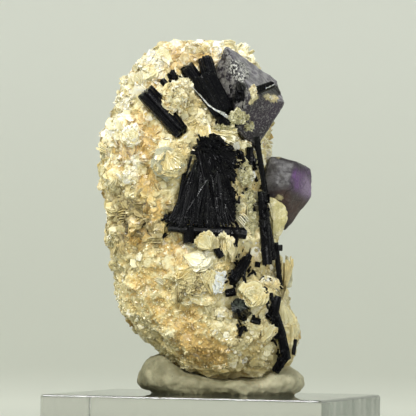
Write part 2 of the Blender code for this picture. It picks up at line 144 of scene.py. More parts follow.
def settle(obj: bpy.types.Object) -> None:
    """Put an object's place, turn and size into its mesh."""
    make_active(obj)
    bpy.ops.object.transform_apply(location=True, rotation=True, scale=True)


def edit_all(obj: bpy.types.Object) -> None:
    """Open one object in edit mode, with everything selected."""
    make_active(obj)
    bpy.ops.object.mode_set(mode="EDIT")
    bpy.ops.mesh.select_all(action="SELECT")


def face_outward(obj: bpy.types.Object) -> None:
    """Turn every face of a closed mesh outward."""
    edit_all(obj)
    bpy.ops.mesh.normals_make_consistent(inside=False)
    bpy.ops.object.mode_set(mode="OBJECT")


def join(parts: list[bpy.types.Object], name: str) -> bpy.types.Object:
    """Join objects in the first of them and name it."""
    deselect_all()
    for part in parts:
        part.select_set(True)
    bpy.context.view_layer.objects.active = parts[0]
    bpy.ops.object.join()
    parts[0].name = name
    return parts[0]


def new_object(name: str, data: bpy.types.ID) -> bpy.types.Object:
    """A new object in the scene, from a mesh, a lamp or a camera."""
    obj = bpy.data.objects.new(name, data)
    bpy.context.scene.collection.objects.link(obj)
    return obj


def copy_of_node(node: str, name: str) -> bpy.types.Object:
    """A merged copy of a solid of the frame, with a mesh of its own.

    Args:
        node: The solid's name.
        name: The copy's name.

    Returns:
        The copy, which rides on nothing yet.
    """
    copy = new_object(name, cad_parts[node].data.copy())
    edit_all(copy)
    bpy.ops.mesh.remove_doubles(threshold=SAME_POINT * MM)
    bpy.ops.mesh.customdata_custom_splitnormals_clear()
    bpy.ops.mesh.faces_shade_flat()
    bpy.ops.mesh.mark_sharp(clear=True)
    bpy.ops.object.mode_set(mode="OBJECT")
    copy.data.materials.clear()
    return copy


def points_of(mesh: bpy.types.Mesh, kind: str = "co") -> np.ndarray:
    """The vertices of a mesh as rows of places in metres, or with "normal" the ways out there."""
    flat = np.empty(len(mesh.vertices) * 3)
    mesh.vertices.foreach_get(kind, flat)
    return flat.reshape(-1, 3)


def move_points(mesh: bpy.types.Mesh, points: np.ndarray) -> None:
    """Write rows of places back to a mesh's vertices."""
    mesh.vertices.foreach_set("co", points.reshape(-1))
    mesh.update()


def set_attribute(mesh: bpy.types.Mesh, name: str, values: np.ndarray) -> None:
    """Store one number for each vertex."""
    layer = mesh.attributes.new(name, "FLOAT", "POINT")
    layer.data.foreach_set("value", values.astype(np.float32))


def mesh_object(name: str, points: list[np.ndarray], faces: list[tuple[int, ...]],
                **numbers: list[np.ndarray]) -> bpy.types.Object:
    """A new object from the parts of a mesh.

    Args:
        name: The object's name.
        points: Each part's rows of places, in millimetres.
        faces: Every part's faces, whose indices count all the points.
        **numbers: Numbers to store on the points, part by part.

    Returns:
        The new object.
    """
    mesh = bpy.data.meshes.new(name)
    mesh.from_pydata((np.concatenate(points) * MM).tolist(), [], faces)
    for key, values in numbers.items():
        set_attribute(mesh, key, np.concatenate(values))
    return new_object(name, mesh)


def foremost(tree: BVHTree, x: float, z: float) -> Vector | None:
    """The first place in a tree behind a place on the front: millimetres in, metres out."""
    return tree.ray_cast(Vector((x, IN_FRONT, z)) * MM, Vector((0, 1, 0)))[0]


def tree_of_nodes(names: list[str]) -> BVHTree:
    """One search tree over several solids of the frame."""
    verts: list[Vector] = []
    faces: list[tuple[int, ...]] = []
    for name in names:
        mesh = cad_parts[name].data
        start = len(verts)
        verts.extend(vert.co.copy() for vert in mesh.vertices)
        faces.extend(tuple(start + index for index in face.vertices) for face in mesh.polygons)
    return BVHTree.FromPolygons(verts, faces)


def dress(obj: bpy.types.Object, material: bpy.types.Material, slot: str, *nodes: str) -> bpy.types.Object:
    """Give a finished piece its material, its body and the solids that it stands for.

    Args:
        obj: The finished piece.
        material: Its only material.
        slot: A material slot's name. It is not used.
        *nodes: The solids that the piece replaces.

    Returns:
        The same piece.
    """
    obj.data.materials.clear()
    obj.data.materials.append(material)
    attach(obj, "root")
    if nodes:
        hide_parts(*nodes)
    triangles = sum(len(face.vertices) - 2 for face in obj.data.polygons)
    LOG.info("%s: %d triangles, stands for %s", obj.name, triangles, ", ".join(nodes) or "no solid")
    return obj


# Shader building

class Value:
    """A number socket that takes part in arithmetic."""

    def __init__(self, tree: "Tree", socket: bpy.types.NodeSocket) -> None:
        """Hold a socket of a tree."""
        self.tree = tree
        self.socket = socket

    def __add__(self, other: "Value | float") -> "Value":
        """This plus the other."""
        return self.tree.math("ADD", self, other)

    def __sub__(self, other: "Value | float") -> "Value":
        """This less the other."""
        return self.tree.math("SUBTRACT", self, other)

    def __rsub__(self, other: float) -> "Value":
        """The other less this."""
        return self.tree.math("SUBTRACT", other, self)

    def __mul__(self, other: "Value | float") -> "Value":
        """This times the other."""
        return self.tree.math("MULTIPLY", self, other)

    def between(self, low: float, high: float) -> "Value":
        """How far this is from low to high, smoothly and held between 0 and 1."""
        node = self.tree.node("ShaderNodeMapRange", {"interpolation_type": "SMOOTHSTEP"},
                              {"Value": self, "From Min": low, "From Max": high})
        return Value(self.tree, node.outputs[0])


class Tree:
    """A material's nodes, round one Principled shader."""

    def __init__(self, name: str) -> None:
        """Start a material."""
        self.material = bpy.data.materials.new(name)
        self.material.use_nodes = True
        self.nodes = self.material.node_tree.nodes
        self.links = self.material.node_tree.links
        self.shader = self.nodes["Principled BSDF"]
        coordinates = self.node("ShaderNodeTexCoord", {}, {})
        scaled = self.node("ShaderNodeVectorMath", {"operation": "SCALE"},
                           {0: coordinates.outputs["Object"], "Scale": 1.0 / MM})
        self.place = scaled.outputs[0]

    def node(self, kind: str, settings: dict[str, object], inputs: dict[str | int, object]) -> bpy.types.Node:
        """Add any node.

        Args:
            kind: The node's type.
            settings: Properties, set first. "stops" gives a colour ramp its (place, colour) stops.
            inputs: Numbers, colours or links for its sockets, by name or number.

        Returns:
            The new node.
        """
        made = self.nodes.new(kind)
        for key, value in settings.items():
            if key == "stops":
                self._set_stops(made.color_ramp, value)
            else:
                setattr(made, key, value)
        for key, value in inputs.items():
            self.feed(made.inputs[key], value)
        return made

    @staticmethod
    def _set_stops(ramp: bpy.types.ColorRamp, stops: tuple[tuple[float, Colour], ...]) -> None:
        """Give a colour ramp its stops."""
        while len(ramp.elements) < len(stops):
            ramp.elements.new(1.0)
        for element, (place, colour) in zip(ramp.elements, stops):
            element.position = place
            element.color = (*colour, 1.0)

    def feed(self, socket: bpy.types.NodeSocket, value: object) -> None:
        """Link or set one socket."""
        if isinstance(value, Value):
            self.links.new(value.socket, socket)
        elif isinstance(value, bpy.types.NodeSocket):
            self.links.new(value, socket)
        elif isinstance(value, tuple) and len(value) == 3 and len(socket.default_value) == 4:
            socket.default_value = (*value, 1.0)
        else:
            socket.default_value = value

    def math(self, operation: str, first: Value | float, second: Value | float) -> Value:
        """A Math node of two numbers."""
        return Value(self, self.node("ShaderNodeMath", {"operation": operation}, {0: first, 1: second}).outputs[0])

    def noise(self, span: float, detail: float = 4.0, stretch: Place3 = (1.0, 1.0, 1.0)) -> Value:
        """Cloudy noise whose lumps are about span millimetres."""
        mapped = self.node("ShaderNodeMapping", {}, {"Vector": self.place, "Scale": stretch})
        made = self.node("ShaderNodeTexNoise", {},
                         {"Vector": mapped.outputs[0], "Scale": 1.0 / span, "Detail": detail})
        return Value(self, made.outputs["Fac"])

    def cells(self, span: float, feature: str = "F1") -> Value:
        """Distance to the nearest of many points about span millimetres apart."""
        made = self.node("ShaderNodeTexVoronoi", {"feature": feature}, {"Vector": self.place, "Scale": 1.0 / span})
        return Value(self, made.outputs["Distance"])

    def attribute(self, name: str) -> Value:
        """A number stored on the mesh."""
        return Value(self, self.node("ShaderNodeAttribute", {"attribute_name": name}, {}).outputs["Fac"])

    def ramp(self, value: Value, stops: tuple[tuple[float, Colour], ...]) -> bpy.types.NodeSocket:
        """A colour read from a number."""
        return self.node("ShaderNodeValToRGB", {"stops": stops}, {"Fac": value}).outputs["Color"]

    def blend(self, share: Value | float, below: object, above: object) -> bpy.types.NodeSocket:
        """Two colours mixed by a number."""
        return self.node("ShaderNodeMix", {"data_type": "RGBA"}, {0: share, 6: below, 7: above}).outputs[2]

    def bump(self, height: Value, depth: float) -> bpy.types.NodeSocket:
        """A bent normal from a height, depth millimetres deep."""
        made = self.node("ShaderNodeBump", {}, {"Height": height, "Distance": depth * MM, "Strength": 1.0})
        return made.outputs["Normal"]

    def finish(self, **sockets: object) -> bpy.types.Material:
        """Set the shader's sockets, whose names are given with underscores, and return the material."""
        for name, value in sockets.items():
            self.feed(self.shader.inputs[name.replace("_", " ")], value)
        return self.material


@dataclass(frozen=True)
class MatrixFinish:
    """Mica flakes and feldspar grains, coloured by stored tone and rust."""

    name: str = "mica and feldspar"
    roughness: float = 0.42
    coat: float = 0.15
    grit: float = 0.10
    mottling: float = 1.0
    tones: tuple[tuple[float, Colour], ...] = (
        (0.0, (0.05, 0.036, 0.013)), (0.26, (0.32, 0.255, 0.12)), (0.48, (0.59, 0.50, 0.25)),
        (0.68, (0.84, 0.77, 0.49)), (0.86, (0.95, 0.91, 0.73)), (1.0, (0.97, 0.96, 0.91)))
    honey: Colour = (0.82, 0.64, 0.27)
    light_rust: Colour = (0.66, 0.43, 0.12)
    dark_rust: Colour = (0.42, 0.27, 0.085)

    def build(self) -> bpy.types.Material:
        """The material."""
        tree = Tree(self.name)
        fine = tree.noise(0.45, 3.0)
        mottled = (tree.noise(3.0) - 0.5) * 0.22 + (tree.noise(1.1) - 0.5) * 0.34 + (fine - 0.5) * 0.34
        tone = tree.attribute("tone") + mottled * self.mottling
        body = tree.ramp(tone, self.tones)
        rust = (tree.attribute("rust") + (tree.noise(1.3, 8.0) - 0.5) * 2.4).between(0.42, 0.84)
        brown = tree.blend(tree.noise(0.8, 4.0).between(0.40, 0.60), self.light_rust, self.dark_rust)
        warm = tree.blend(tree.noise(4.0, 5.0).between(0.50, 0.66) * 0.55, body, self.honey)
        stained = tree.blend(rust * 0.74, warm, brown)
        height = fine * 0.6 + tree.noise(0.22, 2.0) * 0.4
        glints = tree.noise(0.9, 2.0).between(0.54, 0.64)
        return tree.finish(
            Base_Color=stained, Roughness=tree.noise(0.8) * 0.35 + self.roughness - 0.17,
            Coat_Weight=glints * 0.85 + self.coat, Coat_Roughness=0.14, Normal=tree.bump(height, self.grit),
            Subsurface_Weight=0.22, Subsurface_Scale=0.8 * MM, Subsurface_Radius=(1.0, 0.88, 0.55))


@dataclass(frozen=True)
class MicaFinish:
    """Pearly sheets of mica with a faint grain along their layers."""

    name: str
    low: Colour
    high: Colour
    roughness: float = 0.28
    coat: float = 0.35
    scuffs: float = 0.7
    worn: Colour = (0.86, 0.84, 0.72)

    def build(self) -> bpy.types.Material:
        """The material."""
        tree = Tree(self.name)
        share = tree.noise(2.4) * 0.4 + tree.noise(0.5, 3.0) * 0.3 + tree.noise(0.7, 4.0, (1.0, 1.0, 0.25)) * 0.3
        body = tree.blend(share.between(0.38, 0.62), self.low, self.high)
        scuffed = tree.blend(tree.noise(1.1, 6.0).between(0.56, 0.78) * self.scuffs, body, self.worn)
        return tree.finish(
            Base_Color=scuffed, Roughness=tree.noise(0.9) * 0.3 + self.roughness - 0.15,
            Coat_Weight=self.coat, Coat_Roughness=0.15, Normal=tree.bump(tree.noise(0.35, 3.0), 0.05),
            Subsurface_Weight=0.25, Subsurface_Scale=1.0 * MM, Subsurface_Radius=(1.0, 0.85, 0.45))


@dataclass(frozen=True)
class SchorlFinish:
    """Black tourmaline: glossy, with dull dusty patches."""

    name: str = "schorl"
    colour: Colour = (0.004, 0.004, 0.005)
    dust: Colour = (0.030, 0.029, 0.023)
    cut_end: Colour = (0.042, 0.048, 0.038)

    def build(self) -> bpy.types.Material:
        """The material."""
        tree = Tree(self.name)
        dusty = tree.noise(1.6, 6.0).between(0.58, 0.82)
        glints = tree.noise(0.45, 2.0).between(0.56, 0.66) * tree.noise(2.2, 3.0).between(0.42, 0.60)
        body = tree.blend(dusty * 0.4, self.colour, self.dust)
        ends = tree.attribute("end").between(0.2, 0.6) * tree.noise(0.8, 4.0).between(0.35, 0.60)
        return tree.finish(
            Base_Color=tree.blend(ends, body, self.cut_end),
            Roughness=dusty * 0.35 + tree.noise(0.6) * 0.20 + 0.10,
            Coat_Weight=glints * 0.8, Coat_Roughness=0.12,
            Normal=tree.bump(tree.noise(0.25, 3.0), 0.05), Specular_IOR_Level=0.08)


@dataclass(frozen=True)
class FluoriteFinish:
    """Grey purple fluorite: worn, pitted, darker and more purple in places, with painted light on the face turned to
    the lamps, a painted lavender highlight and painted shadow in its hollow.

    Streak, sparkle and veins are the strengths of pale streaks on the painted light, of frosty specks that are partly
    painted glints, and of dark veins.
    """

    name: str
    pale: Colour
    deep: Colour
    vivid: Colour
    transmission: float
    streak: float
    sparkle: float
    veins: float
    warm: Colour = (0.13, 0.075, 0.06)
    light: Colour = (0.42, 0.31, 0.50)
    milk: Colour = (0.29, 0.28, 0.25)
    pit: Colour = (0.012, 0.010, 0.010)
    black: Colour = (0.006, 0.006, 0.006)
    net: Colour = (0.50, 0.50, 0.45)
    white: Colour = (0.42, 0.41, 0.42)
    frost_and_glint: Colour = (0.28, 0.27, 0.27)
    vein: Colour = (0.012, 0.010, 0.012)
    shade: Colour = (0.008, 0.008, 0.007)
    cream: Colour = (0.62, 0.54, 0.30)

    def build(self) -> bpy.types.Material:
        """The material."""
        tree = Tree(self.name)
        body = tree.blend(tree.attribute("vivid") * (tree.noise(2.2, 3.0) + 0.5), self.deep, self.vivid)
        warmed = tree.blend(tree.attribute("warm") * (tree.noise(1.2, 4.0) + 0.2), body, self.warm)
        # painted highlight: lavender where light catches the crystal
        highlighted = tree.blend(tree.attribute("light") * (tree.noise(1.8, 3.0) + 0.3), warmed, self.light)
        # painted light: the face turned to the lamps is paler
        lit = tree.blend(tree.attribute("pale") * (tree.noise(1.6, 3.0) * 0.8 + 0.5), highlighted, self.pale)
        etched = (tree.attribute("etched") + (tree.noise(1.8, 5.0) - 0.5) * 1.2).between(0.25, 0.75)
        milky = tree.blend(tree.noise(1.5, 6.0).between(0.44, 0.58) * etched * 0.75, lit, self.milk)
        speckled = (tree.attribute("speckled") + (tree.noise(0.9, 3.0) - 0.5) * 0.6).between(0.38, 0.52)
        pits = tree.noise(0.38, 4.0).between(0.52, 0.60)
        pitted = tree.blend(pits * (etched * 0.35 + 0.30), milky, self.pit)
        blackened = tree.blend(speckled * 0.92, pitted, self.black)
        netted = tree.blend(tree.noise(0.60, 3.0).between(0.50, 0.56) * speckled, blackened, self.net)
        # pale streaks, drawn only where the painted light falls
        streaks = tree.noise(1.3, 5.0, (0.35, 1.0, 0.8)).between(0.46, 0.62) * tree.attribute("pale")
        streaked = tree.blend(streaks * self.streak, netted, self.white)
        # frosty specks, partly painted glints
        sparkle = tree.noise(0.50, 2.0).between(0.53, 0.60) * tree.noise(3.2, 3.0).between(0.30, 0.50)
        frosted_and_glinting = tree.blend(sparkle * self.sparkle, streaked, self.frost_and_glint)
        veins = 1.0 - (tree.cells(4.2, "DISTANCE_TO_EDGE") + (tree.noise(1.0, 4.0) - 0.5) * 0.12).between(0.0, 0.06)
        veined = tree.blend(veins * tree.noise(2.6, 2.0).between(0.40, 0.62) * self.veins, frosted_and_glinting, self.vein)
        creamy = (tree.attribute("cream") + (tree.noise(0.7, 4.0) - 0.5) * 0.9).between(0.35, 0.65)
        # painted shadow: the shade colour under the prism in the crystal's hollow, and on darker patches of the left
        # face; cream is real matrix
        dark = (tree.attribute("dark") + (tree.noise(0.8, 4.0) - 0.5) * 0.5).between(0.3, 0.6)
        creamy_and_shaded = tree.blend(creamy, tree.blend(dark, veined, self.shade), self.cream)
        height = tree.noise(0.4, 4.0) * 0.6 + tree.noise(0.2, 3.0) * 0.4
        return tree.finish(
            Base_Color=creamy_and_shaded, Roughness=tree.noise(0.7) * 0.25 + 0.22, IOR=1.434,
            Transmission_Weight=self.transmission, Normal=tree.bump(height, 0.14))


@dataclass(frozen=True)
class PuttyFinish:
    """Soft grey beige putty with smears and specks of dust, and painted light that makes the right lobe paler."""

    name: str = "putty"
    low: Colour = (0.185, 0.170, 0.092)
    high: Colour = (0.345, 0.322, 0.198)
    pale: Colour = (0.62, 0.58, 0.40)
    dust: Colour = (0.10, 0.09, 0.07)

    def build(self) -> bpy.types.Material:
        """The material."""
        tree = Tree(self.name)
        smear = tree.noise(4.0, 5.0).between(0.35, 0.70)
        rubbed = tree.blend(smear, self.low, self.high)
        # painted light: the right lobe is paler, as if lit while the left lies in shade
        body = tree.blend(tree.attribute("pale") * (smear * 0.4 + 0.6), rubbed, self.pale)
        specks = (1.0 - tree.cells(1.8).between(0.04, 0.14)) * 0.7
        dusty = tree.blend(specks, body, self.dust)
        height = tree.noise(1.4, 5.0) * 0.8 + tree.noise(0.3, 3.0) * 0.2
        return tree.finish(Base_Color=dusty, Roughness=tree.noise(2.0) * 0.2 + 0.62,
                           Normal=tree.bump(height, 0.34), Subsurface_Weight=0.05, Subsurface_Scale=1.0 * MM)


@dataclass(frozen=True)
class AcrylicFinish:
    """Clear acrylic: polished front and top, sawn sides with fine upright scratches."""

    name: str = "clear acrylic"
    tint: Colour = (0.69, 0.69, 0.66)
    sawn_tint: Colour = (0.12, 0.145, 0.125)
    block_turn_degrees: float = 14.0
    side_at: float = 37.5
    sawn_from: float = 0.25
    sawn_fully: float = 0.05

    def build(self) -> bpy.types.Material:
        """The material."""
        tree = Tree(self.name)
        turned = tree.node("ShaderNodeMapping", {},
                           {"Vector": tree.place, "Rotation": (0.0, 0.0, math.radians(self.block_turn_degrees))})
        split = tree.node("ShaderNodeSeparateXYZ", {}, {0: turned.outputs[0]})
        across = tree.math("ABSOLUTE", Value(tree, split.outputs["X"]), 0.0)
        sawn = across.between(self.side_at - self.sawn_from, self.side_at - self.sawn_fully)
        scratches = tree.noise(4.5, 5.0, (1.0, 1.0, 0.02)).between(0.46, 0.66)
        streaked = tree.blend(scratches, self.sawn_tint, self.tint)
        return tree.finish(
            Base_Color=tree.blend(sawn, self.tint, streaked), Roughness=sawn * (scratches * 0.10 + 0.06),
            IOR=1.49, Transmission_Weight=1.0)


@dataclass(frozen=True)
class StageFinish:
    """Pale matt card with painted shade, darker low down and round the block, and a faint glow of painted light."""

    near: Colour = (0.42, 0.44, 0.38)
    low: Colour = (0.63, 0.65, 0.57)
    high: Colour = (0.75, 0.77, 0.705)
    glow: float = 0.18

    def build(self) -> bpy.types.Material:
        """The material."""
        tree = Tree("pale card")
        split = tree.node("ShaderNodeSeparateXYZ", {}, {0: tree.place})
        height = Value(tree, split.outputs["Z"])
        length = tree.node("ShaderNodeVectorMath", {"operation": "LENGTH"}, {0: tree.place})
        away = Value(tree, length.outputs["Value"])
        # painted shade: darker low down, and darker still near the block
        card = tree.blend(height.between(-40.0, 300.0), self.low, self.high)
        shaded_card = tree.blend(away.between(150.0, 650.0), self.near, card)
        return tree.finish(Base_Color=shaded_card, Roughness=0.9, Specular_IOR_Level=0.1,
                           Emission_Color=shaded_card, Emission_Strength=self.glow)


# Ground: where the stone is pale, rusty, flaky or sugary, and where highlight and shade are painted on it

@dataclass(frozen=True)
class Spot:
    """A soft round patch of the front: place, reach and strength."""

    x: float
    z: float
    reach: float
    strength: float


def sum_spots(spots: tuple[Spot, ...], points: np.ndarray) -> np.ndarray:
    """The spots' strengths at rows of places in millimetres, on the front half alone."""
    front = np.clip((8.0 - points[:, 1]) / 10.0, 0.0, 1.0)
    total = np.zeros(len(points))
    for spot in spots:
        away = ((points[:, 0] - spot.x) ** 2 + (points[:, 2] - spot.z) ** 2) / spot.reach ** 2
        total += spot.strength * np.exp(-away)
    return total * front


@dataclass
class Ground:
    """How the stone's colour and grain change from place to place."""

    rust_spots: tuple[Spot, ...] = (
        Spot(-12.0, 110.5, 3.0, 0.5), Spot(-24.0, 86.0, 4.0, 0.8), Spot(-18.5, 88.5, 3.5, 0.8),
        Spot(-26.0, 81.0, 3.0, 0.5), Spot(-17.0, 82.5, 3.0, 0.7), Spot(-18.5, 75.8, 3.0, 1.0),
        Spot(-21.0, 91.5, 3.5, 0.6), Spot(-16.0, 68.5, 3.2, 0.8), Spot(-11.0, 57.8, 4.2, 0.9),
        Spot(-17.5, 51.0, 4.5, 0.6), Spot(-8.0, 36.5, 4.5, 0.8), Spot(-3.5, 31.5, 4.5, 1.0),
        Spot(1.5, 31.0, 3.0, 0.8), Spot(-7.0, 109.5, 4.0, 0.9), Spot(-13.0, 108.0, 3.0, 0.6),
        Spot(-3.0, 106.5, 3.0, 0.7), Spot(-21.5, 61.0, 3.5, 0.6), Spot(-22.0, 45.5, 4.0, 0.4),
        Spot(-14.5, 42.0, 4.0, 0.5), Spot(-6.0, 43.0, 3.0, 0.6), Spot(-18.0, 102.5, 3.0, 0.4))
    # paler stone, and painted highlight, such as the glossy patches round (-8.6, 58.4) and (-3.2, 56.6)
    pale_and_highlight_spots: tuple[Spot, ...] = (
        Spot(-16.0, 107.0, 9.0, 0.26), Spot(-26.0, 88.0, 7.0, 0.12), Spot(0.0, 111.0, 7.0, 0.16),
        Spot(-24.0, 90.0, 6.0, 0.12), Spot(-22.5, 81.5, 4.0, 0.22),
        Spot(-8.6, 58.4, 2.6, 0.30), Spot(-3.2, 56.6, 2.6, 0.30), Spot(-5.5, 55.0, 5.0, 0.16),
        Spot(-2.0, 48.5, 5.0, 0.22), Spot(-11.0, 87.0, 4.0, 0.10),
        Spot(3.0, 110.0, 5.0, 0.15), Spot(13.0, 86.0, 4.0, 0.10), Spot(7.0, 64.0, 4.0, 0.14))
    # duller stone, and painted shade, such as over the shaded left middle round (-23, 67)
    dull_and_shade_spots: tuple[Spot, ...] = (
        Spot(-3.0, 30.5, 5.0, -0.22), Spot(-14.0, 62.0, 5.0, -0.16), Spot(-21.0, 40.0, 8.0, -0.06),
        Spot(6.5, 56.0, 5.0, -0.16), Spot(5.0, 80.0, 5.0, -0.10), Spot(-10.0, 96.0, 7.0, -0.08),
        Spot(10.0, 30.0, 7.0, -0.02), Spot(-18.0, 70.5, 4.0, -0.10), Spot(-24.0, 67.0, 5.0, -0.18),
        Spot(-23.0, 60.0, 4.0, -0.10), Spot(-22.0, 66.0, 9.0, -0.18), Spot(-5.0, 51.4, 5.0, -0.32))
    base_tone: float = 0.60
    low_tone: float = 0.61
    drift: float = 0.07
    foot: float = 30.0
    height: float = 80.0
    base_rust: float = 0.12
    most_rust: float = 1.2
    sugar_below: float = 57.0
    sugar_fade: float = 4.0

    def tone(self, points: np.ndarray) -> np.ndarray:
        """How pale the stone is at rows of places in millimetres, with the painted highlight and shade of the spots."""
        rise = np.clip((points[:, 2] - self.foot) / self.height, 0.0, 1.0)
        level = self.low_tone + (self.base_tone - self.low_tone) * rise
        x, y, z = points.T
        drift = np.sin(x * 0.31 + z * 0.12 + 0.8) * np.sin(y * 0.27 - z * 0.19) + 0.6 * np.sin(z * 0.43 + x * 0.2)
        level = level + self.drift * drift * np.clip((y + 14.0) / 14.0, 0.3, 1.0)
        return level + sum_spots(self.pale_and_highlight_spots, points) + sum_spots(self.dull_and_shade_spots, points)

    def rust(self, points: np.ndarray) -> np.ndarray:
        """How stained the stone is at rows of places in millimetres."""
        wave = np.sin(points[:, 0] * 0.41 + 1.7) * np.sin(points[:, 1] * 0.37) * np.sin(points[:, 2] * 0.29)
        back = np.clip((points[:, 1] + 2.0) / 8.0, 0.0, 1.0) * np.clip(wave * 1.6, 0.0, 1.0)
        return np.clip(self.base_rust + sum_spots(self.rust_spots, points) + back, 0.0, self.most_rust)

    def sugary(self, points: np.ndarray) -> np.ndarray:
        """Share of sugary grains among the flakes at rows of places in millimetres: most low down on the left."""
        low = 1.0 / (1.0 + np.exp((points[:, 2] - self.sugar_below) / self.sugar_fade))
        left = 1.0 / (1.0 + np.exp(points[:, 0] / self.sugar_fade))
        return np.clip(low * (0.45 + 0.55 * left), 0.05, 0.95)


# Small things that are repeated

class Grain(Enum):
    """The shapes that are spread over the stone."""

    FLAKE = "flake"
    BOOK = "book"
    CRYSTAL = "crystal"
    BLADE = "blade"
    NEEDLE = "needle"


@dataclass
class Pattern:
    """A small shape with its faces, for copying many times."""

    points: np.ndarray
    faces: list[tuple[int, ...]]


@dataclass
class PatternBook:
    """Models each repeated shape a few times over, about 1 unit across."""

    variants: int = 5

    def build(self, grain: Grain) -> list[Pattern]:
        """The variants of one shape.

        Args:
            grain: Which shape.

        Returns:
            Its variants.
        """
        makers = {
            Grain.FLAKE: self._flake, Grain.BOOK: self._book, Grain.CRYSTAL: self._crystal,
            Grain.BLADE: self._blade, Grain.NEEDLE: self._needle}
        return [self._read(makers[grain], seed) for seed in range(self.variants)]

    @staticmethod
    def _read(maker: Callable[[int], None], seed: int) -> Pattern:
        """Model one variant, note its points and faces, and remove it."""
        deselect_all()
        maker(seed)
        obj = bpy.context.object
        settle(obj)
        face_outward(obj)
        pattern = Pattern(points_of(obj.data), [tuple(face.vertices) for face in obj.data.polygons])
        bpy.data.objects.remove(obj, do_unlink=True)
        return pattern

    @staticmethod
    def _roughen(amount: float, seed: int) -> None:
        """Move the active object's points about at random."""
        edit_all(bpy.context.object)
        bpy.ops.transform.vertex_random(offset=amount, uniform=0.0, normal=0.0, seed=seed)
        bpy.ops.object.mode_set(mode="OBJECT")

    def _flake(self, seed: int) -> None:
        """A thin cleavage flake with an uneven outline."""
        bpy.ops.mesh.primitive_cylinder_add(vertices=5 + seed % 3, radius=1.0, depth=1.2)
        self._roughen(0.28, seed)
        bpy.context.object.scale = (1.0, 0.72 + 0.06 * seed, 0.11)

    def _book(self, seed: int) -> None:
        """A short stack of sheets, each set a little off the last."""
        sheets = []
        for sheet in range(-2, 3):
            turn = 0.09 * sheet * (1 + seed % 2)
            bpy.ops.mesh.primitive_cylinder_add(
                vertices=6, radius=1.0 - 0.10 * ((sheet + seed) % 3), depth=0.075,
                location=(0.05 * sheet, -0.06 * ((sheet + seed) % 2), sheet * 0.17), rotation=(0.05 * sheet, 0, turn))
            self._roughen(0.06, seed * 7 + sheet + 2)
            sheets.append(bpy.context.object)
        for sheet in sheets:
            sheet.select_set(True)
        bpy.ops.object.join()

    def _crystal(self, seed: int) -> None:
        """An angular sugary grain."""
        bpy.ops.mesh.primitive_ico_sphere_add(subdivisions=1, radius=0.9)
        self._roughen(0.42, seed)
        bpy.context.object.scale = (1.0, 0.85, 0.75)

    def _blade(self, seed: int) -> None:
        """A long sheet that widens to a ragged tip, growing along +X from the origin."""
        bpy.ops.mesh.primitive_grid_add(x_subdivisions=3, y_subdivisions=1, size=2.0, location=(1.0, 0.0, 0.0))
        edit_all(bpy.context.object)
        bpy.ops.mesh.extrude_region_move(TRANSFORM_OT_translate={"value": (0.0, 0.0, 0.10)})
        bpy.ops.object.mode_set(mode="OBJECT")
        settle(bpy.context.object)
        for vert in bpy.context.object.data.vertices:
            along = vert.co.x / 2.0
            vert.co.y *= 0.16 + 0.60 * along ** 0.7 - 0.30 * along ** 6
            vert.co.z += 0.20 * along * along * (1 if seed % 2 else -1)
        self._roughen(0.09, seed)
        bpy.context.object.scale = (0.5, 0.5, 0.5)

    def _needle(self, seed: int) -> None:
        """A thin black splinter along +Z from the origin."""
        bpy.ops.mesh.primitive_cylinder_add(vertices=7, radius=0.5, depth=1.0, location=(0, 0, 0.5))
        self._roughen(0.07, seed)


@dataclass
class Spread:
    """Where copies of a shape go: rows of places, turning matrices and stored numbers."""

    places: np.ndarray
    frames: np.ndarray
    tone: np.ndarray
    rust: np.ndarray


def frames_from_axes(axes: np.ndarray, spins: np.ndarray, sizes: np.ndarray) -> np.ndarray:
    """Turning and sizing matrices whose third column follows each axis.

    Args:
        axes: Rows of directions for the shapes' own Z.
        spins: Angles about those directions.
        sizes: Rows of sizes along the shapes' own X, Y and Z.

    Returns:
        One 3 by 3 matrix for each row.
    """
    axes = axes / np.linalg.norm(axes, axis=1, keepdims=True)
    helper = np.where(np.abs(axes[:, 2:3]) < 0.9, np.array([[0.0, 0.0, 1.0]]), np.array([[1.0, 0.0, 0.0]]))
    first = np.cross(helper, axes)
    first /= np.linalg.norm(first, axis=1, keepdims=True)
    second = np.cross(axes, first)
    cosine, sine = np.cos(spins)[:, None], np.sin(spins)[:, None]
    turned = first * cosine + second * sine
    other = np.cross(axes, turned)
    return np.stack([turned * sizes[:, 0:1], other * sizes[:, 1:2], axes * sizes[:, 2:3]], axis=2)


def spread_mesh(name: str, patterns: list[Pattern], spread: Spread) -> bpy.types.Object:
    """Join copies of a few patterns in one mesh.

    Args:
        name: The new object's name.
        patterns: The shape's variants, used in turn.
        spread: Where the copies go, in millimetres.

    Returns:
        The new object, whose points store tone and rust. A copy that would stand above the solids is left out.
    """
    points, faces, tones, rusts = [], [], [], []
    start = 0
    for count, (place, turn) in enumerate(zip(spread.places, spread.frames)):
        pattern = patterns[count % len(patterns)]
        copy = pattern.points @ turn.T + place
        if copy[:, 2].max() > CAD_BOX[1][2] / MM:
            continue
        points.append(copy)
        faces.extend(tuple(start + index for index in face) for face in pattern.faces)
        start += len(pattern.points)
        tones.append(np.full(len(pattern.points), spread.tone[count]))
        rusts.append(np.full(len(pattern.points), spread.rust[count]))
    return mesh_object(name, points, faces, tone=tones, rust=rusts)


# The stone and what covers it

